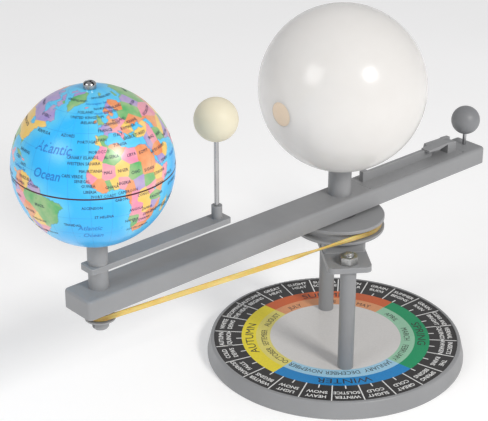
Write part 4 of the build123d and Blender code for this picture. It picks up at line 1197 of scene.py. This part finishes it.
# %% Post bolts
bolt_low, bolt_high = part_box("post_bolts")
bolt_radius = 2.5 * mm
head_radius, head_height = 4.5 * mm, 2.4 * mm
thread_pitch, thread_depth, thread_length = 0.8 * mm, 0.42 * mm, 9.0 * mm
rows_per_pitch = 8
tip_length = 0.5 * mm
end_radius = 0.02 * mm   # the tip's last ring, which a flat cap closes


def bolt_points(columns=32):
    """Bolt as radius over height and angle: domed head, plain shank, threaded end, chamfered tip."""
    top = bolt_high.z
    low = bolt_low.z
    thread_start = top - thread_length
    head = np.array([(0.02, 0.25), (0.45, 0.18), (0.8, 0.3), (0.96, 0.55), (1.0, 0.8), (1.0, 1.0)])
    radius = np.concatenate([head[:, 0] * head_radius, [bolt_radius] * 2])
    head_level = low + (head[:, 1] - 0.18) / 0.82 * head_height     # the profile starts at 0.18
    height = np.concatenate([head_level, [low + head_height, thread_start]])
    rows = int((top - thread_start) / (thread_pitch / rows_per_pitch))
    z = np.linspace(thread_start, top - 0.02 * mm, rows)
    turn = np.linspace(0, 2 * np.pi, columns, endpoint=False)
    phase = (z[:, None] / thread_pitch + turn / (2 * np.pi)) % 1.0
    fade_in = np.clip((z[:, None] - thread_start) / mm, 0, 1)
    dip = thread_depth * (1 - np.abs(2 * phase - 1)) * fade_in
    tip = np.clip((top - z[:, None]) / tip_length, 0, 1)
    thread = (bolt_radius - 0.01 * mm - dip) * (0.72 + 0.28 * tip)
    plain = np.repeat(radius[:, None], columns, axis=1)
    ring = np.concatenate([plain, thread, np.full((1, columns), end_radius)])
    level = np.concatenate([height, z, [top]])[:, None] * np.ones(columns)
    return np.stack([ring * np.cos(turn), ring * np.sin(turn), level], axis=-1)


def post_bolts():
    """Both bolts as one piece, at opposite corners of their shared box."""
    base = bolt_points()
    rows, columns = base.shape[:2]
    faces = grid_faces(rows, columns, close_columns=True)
    caps = np.array([np.arange(columns)[::-1], (rows - 1) * columns + np.arange(columns)])
    away = bolt_high - Vector((head_radius, head_radius, 0))
    pieces = []
    for side in (1, -1):
        placed = base + np.array([side * away.x, side * away.y, 0])
        pieces.append((placed.reshape(-1, 3), faces))
    thing = joined("post_bolts_threaded", pieces, smooth=True)
    shape = bmesh.new()
    shape.from_mesh(thing.data)
    shape.verts.ensure_lookup_table()
    for number in range(2):
        for cap in caps:
            shape.faces.new([shape.verts[int(v) + number * rows * columns] for v in cap])
    bmesh.ops.recalc_face_normals(shape, faces=shape.faces)
    shape.to_mesh(thing.data)
    shape.free()
    return thing


bolts = count_faces(post_bolts())
dress(bolts, finishes["zinc_steel"])
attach(bolts, "base")
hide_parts("post_bolts")

# %% [markdown]
# ## The floor
# A wide pale floor takes the soft shadow, and glows faintly like a lit table, which keeps it white
# far from the softboxes.  It belongs to the studio, not to the model.

# %% Floor


def pale_floor():
    """Flat square, 8 m across, with a barely mottled matt finish."""
    corners = np.array([[-4, -4, 0], [4, -4, 0], [4, 4, 0], [-4, 4, 0]], float)
    thing = add_object("floor", corners, np.array([[0, 1, 2, 3]]), smooth=False)
    finish = Finish("floor_paint")
    finish.mottle(finish.noise(6.0), (0.93, 0.93, 0.93), (0.95, 0.95, 0.95))
    finish.rough(finish.between(finish.noise(9.0), 0.75, 0.85))
    finish.shader.inputs["Emission Color"].default_value = (1.0, 1.0, 1.0, 1.0)
    finish.shader.inputs["Emission Strength"].default_value = 0.14
    dress(thing, finish.material)
    return thing


pale_floor()
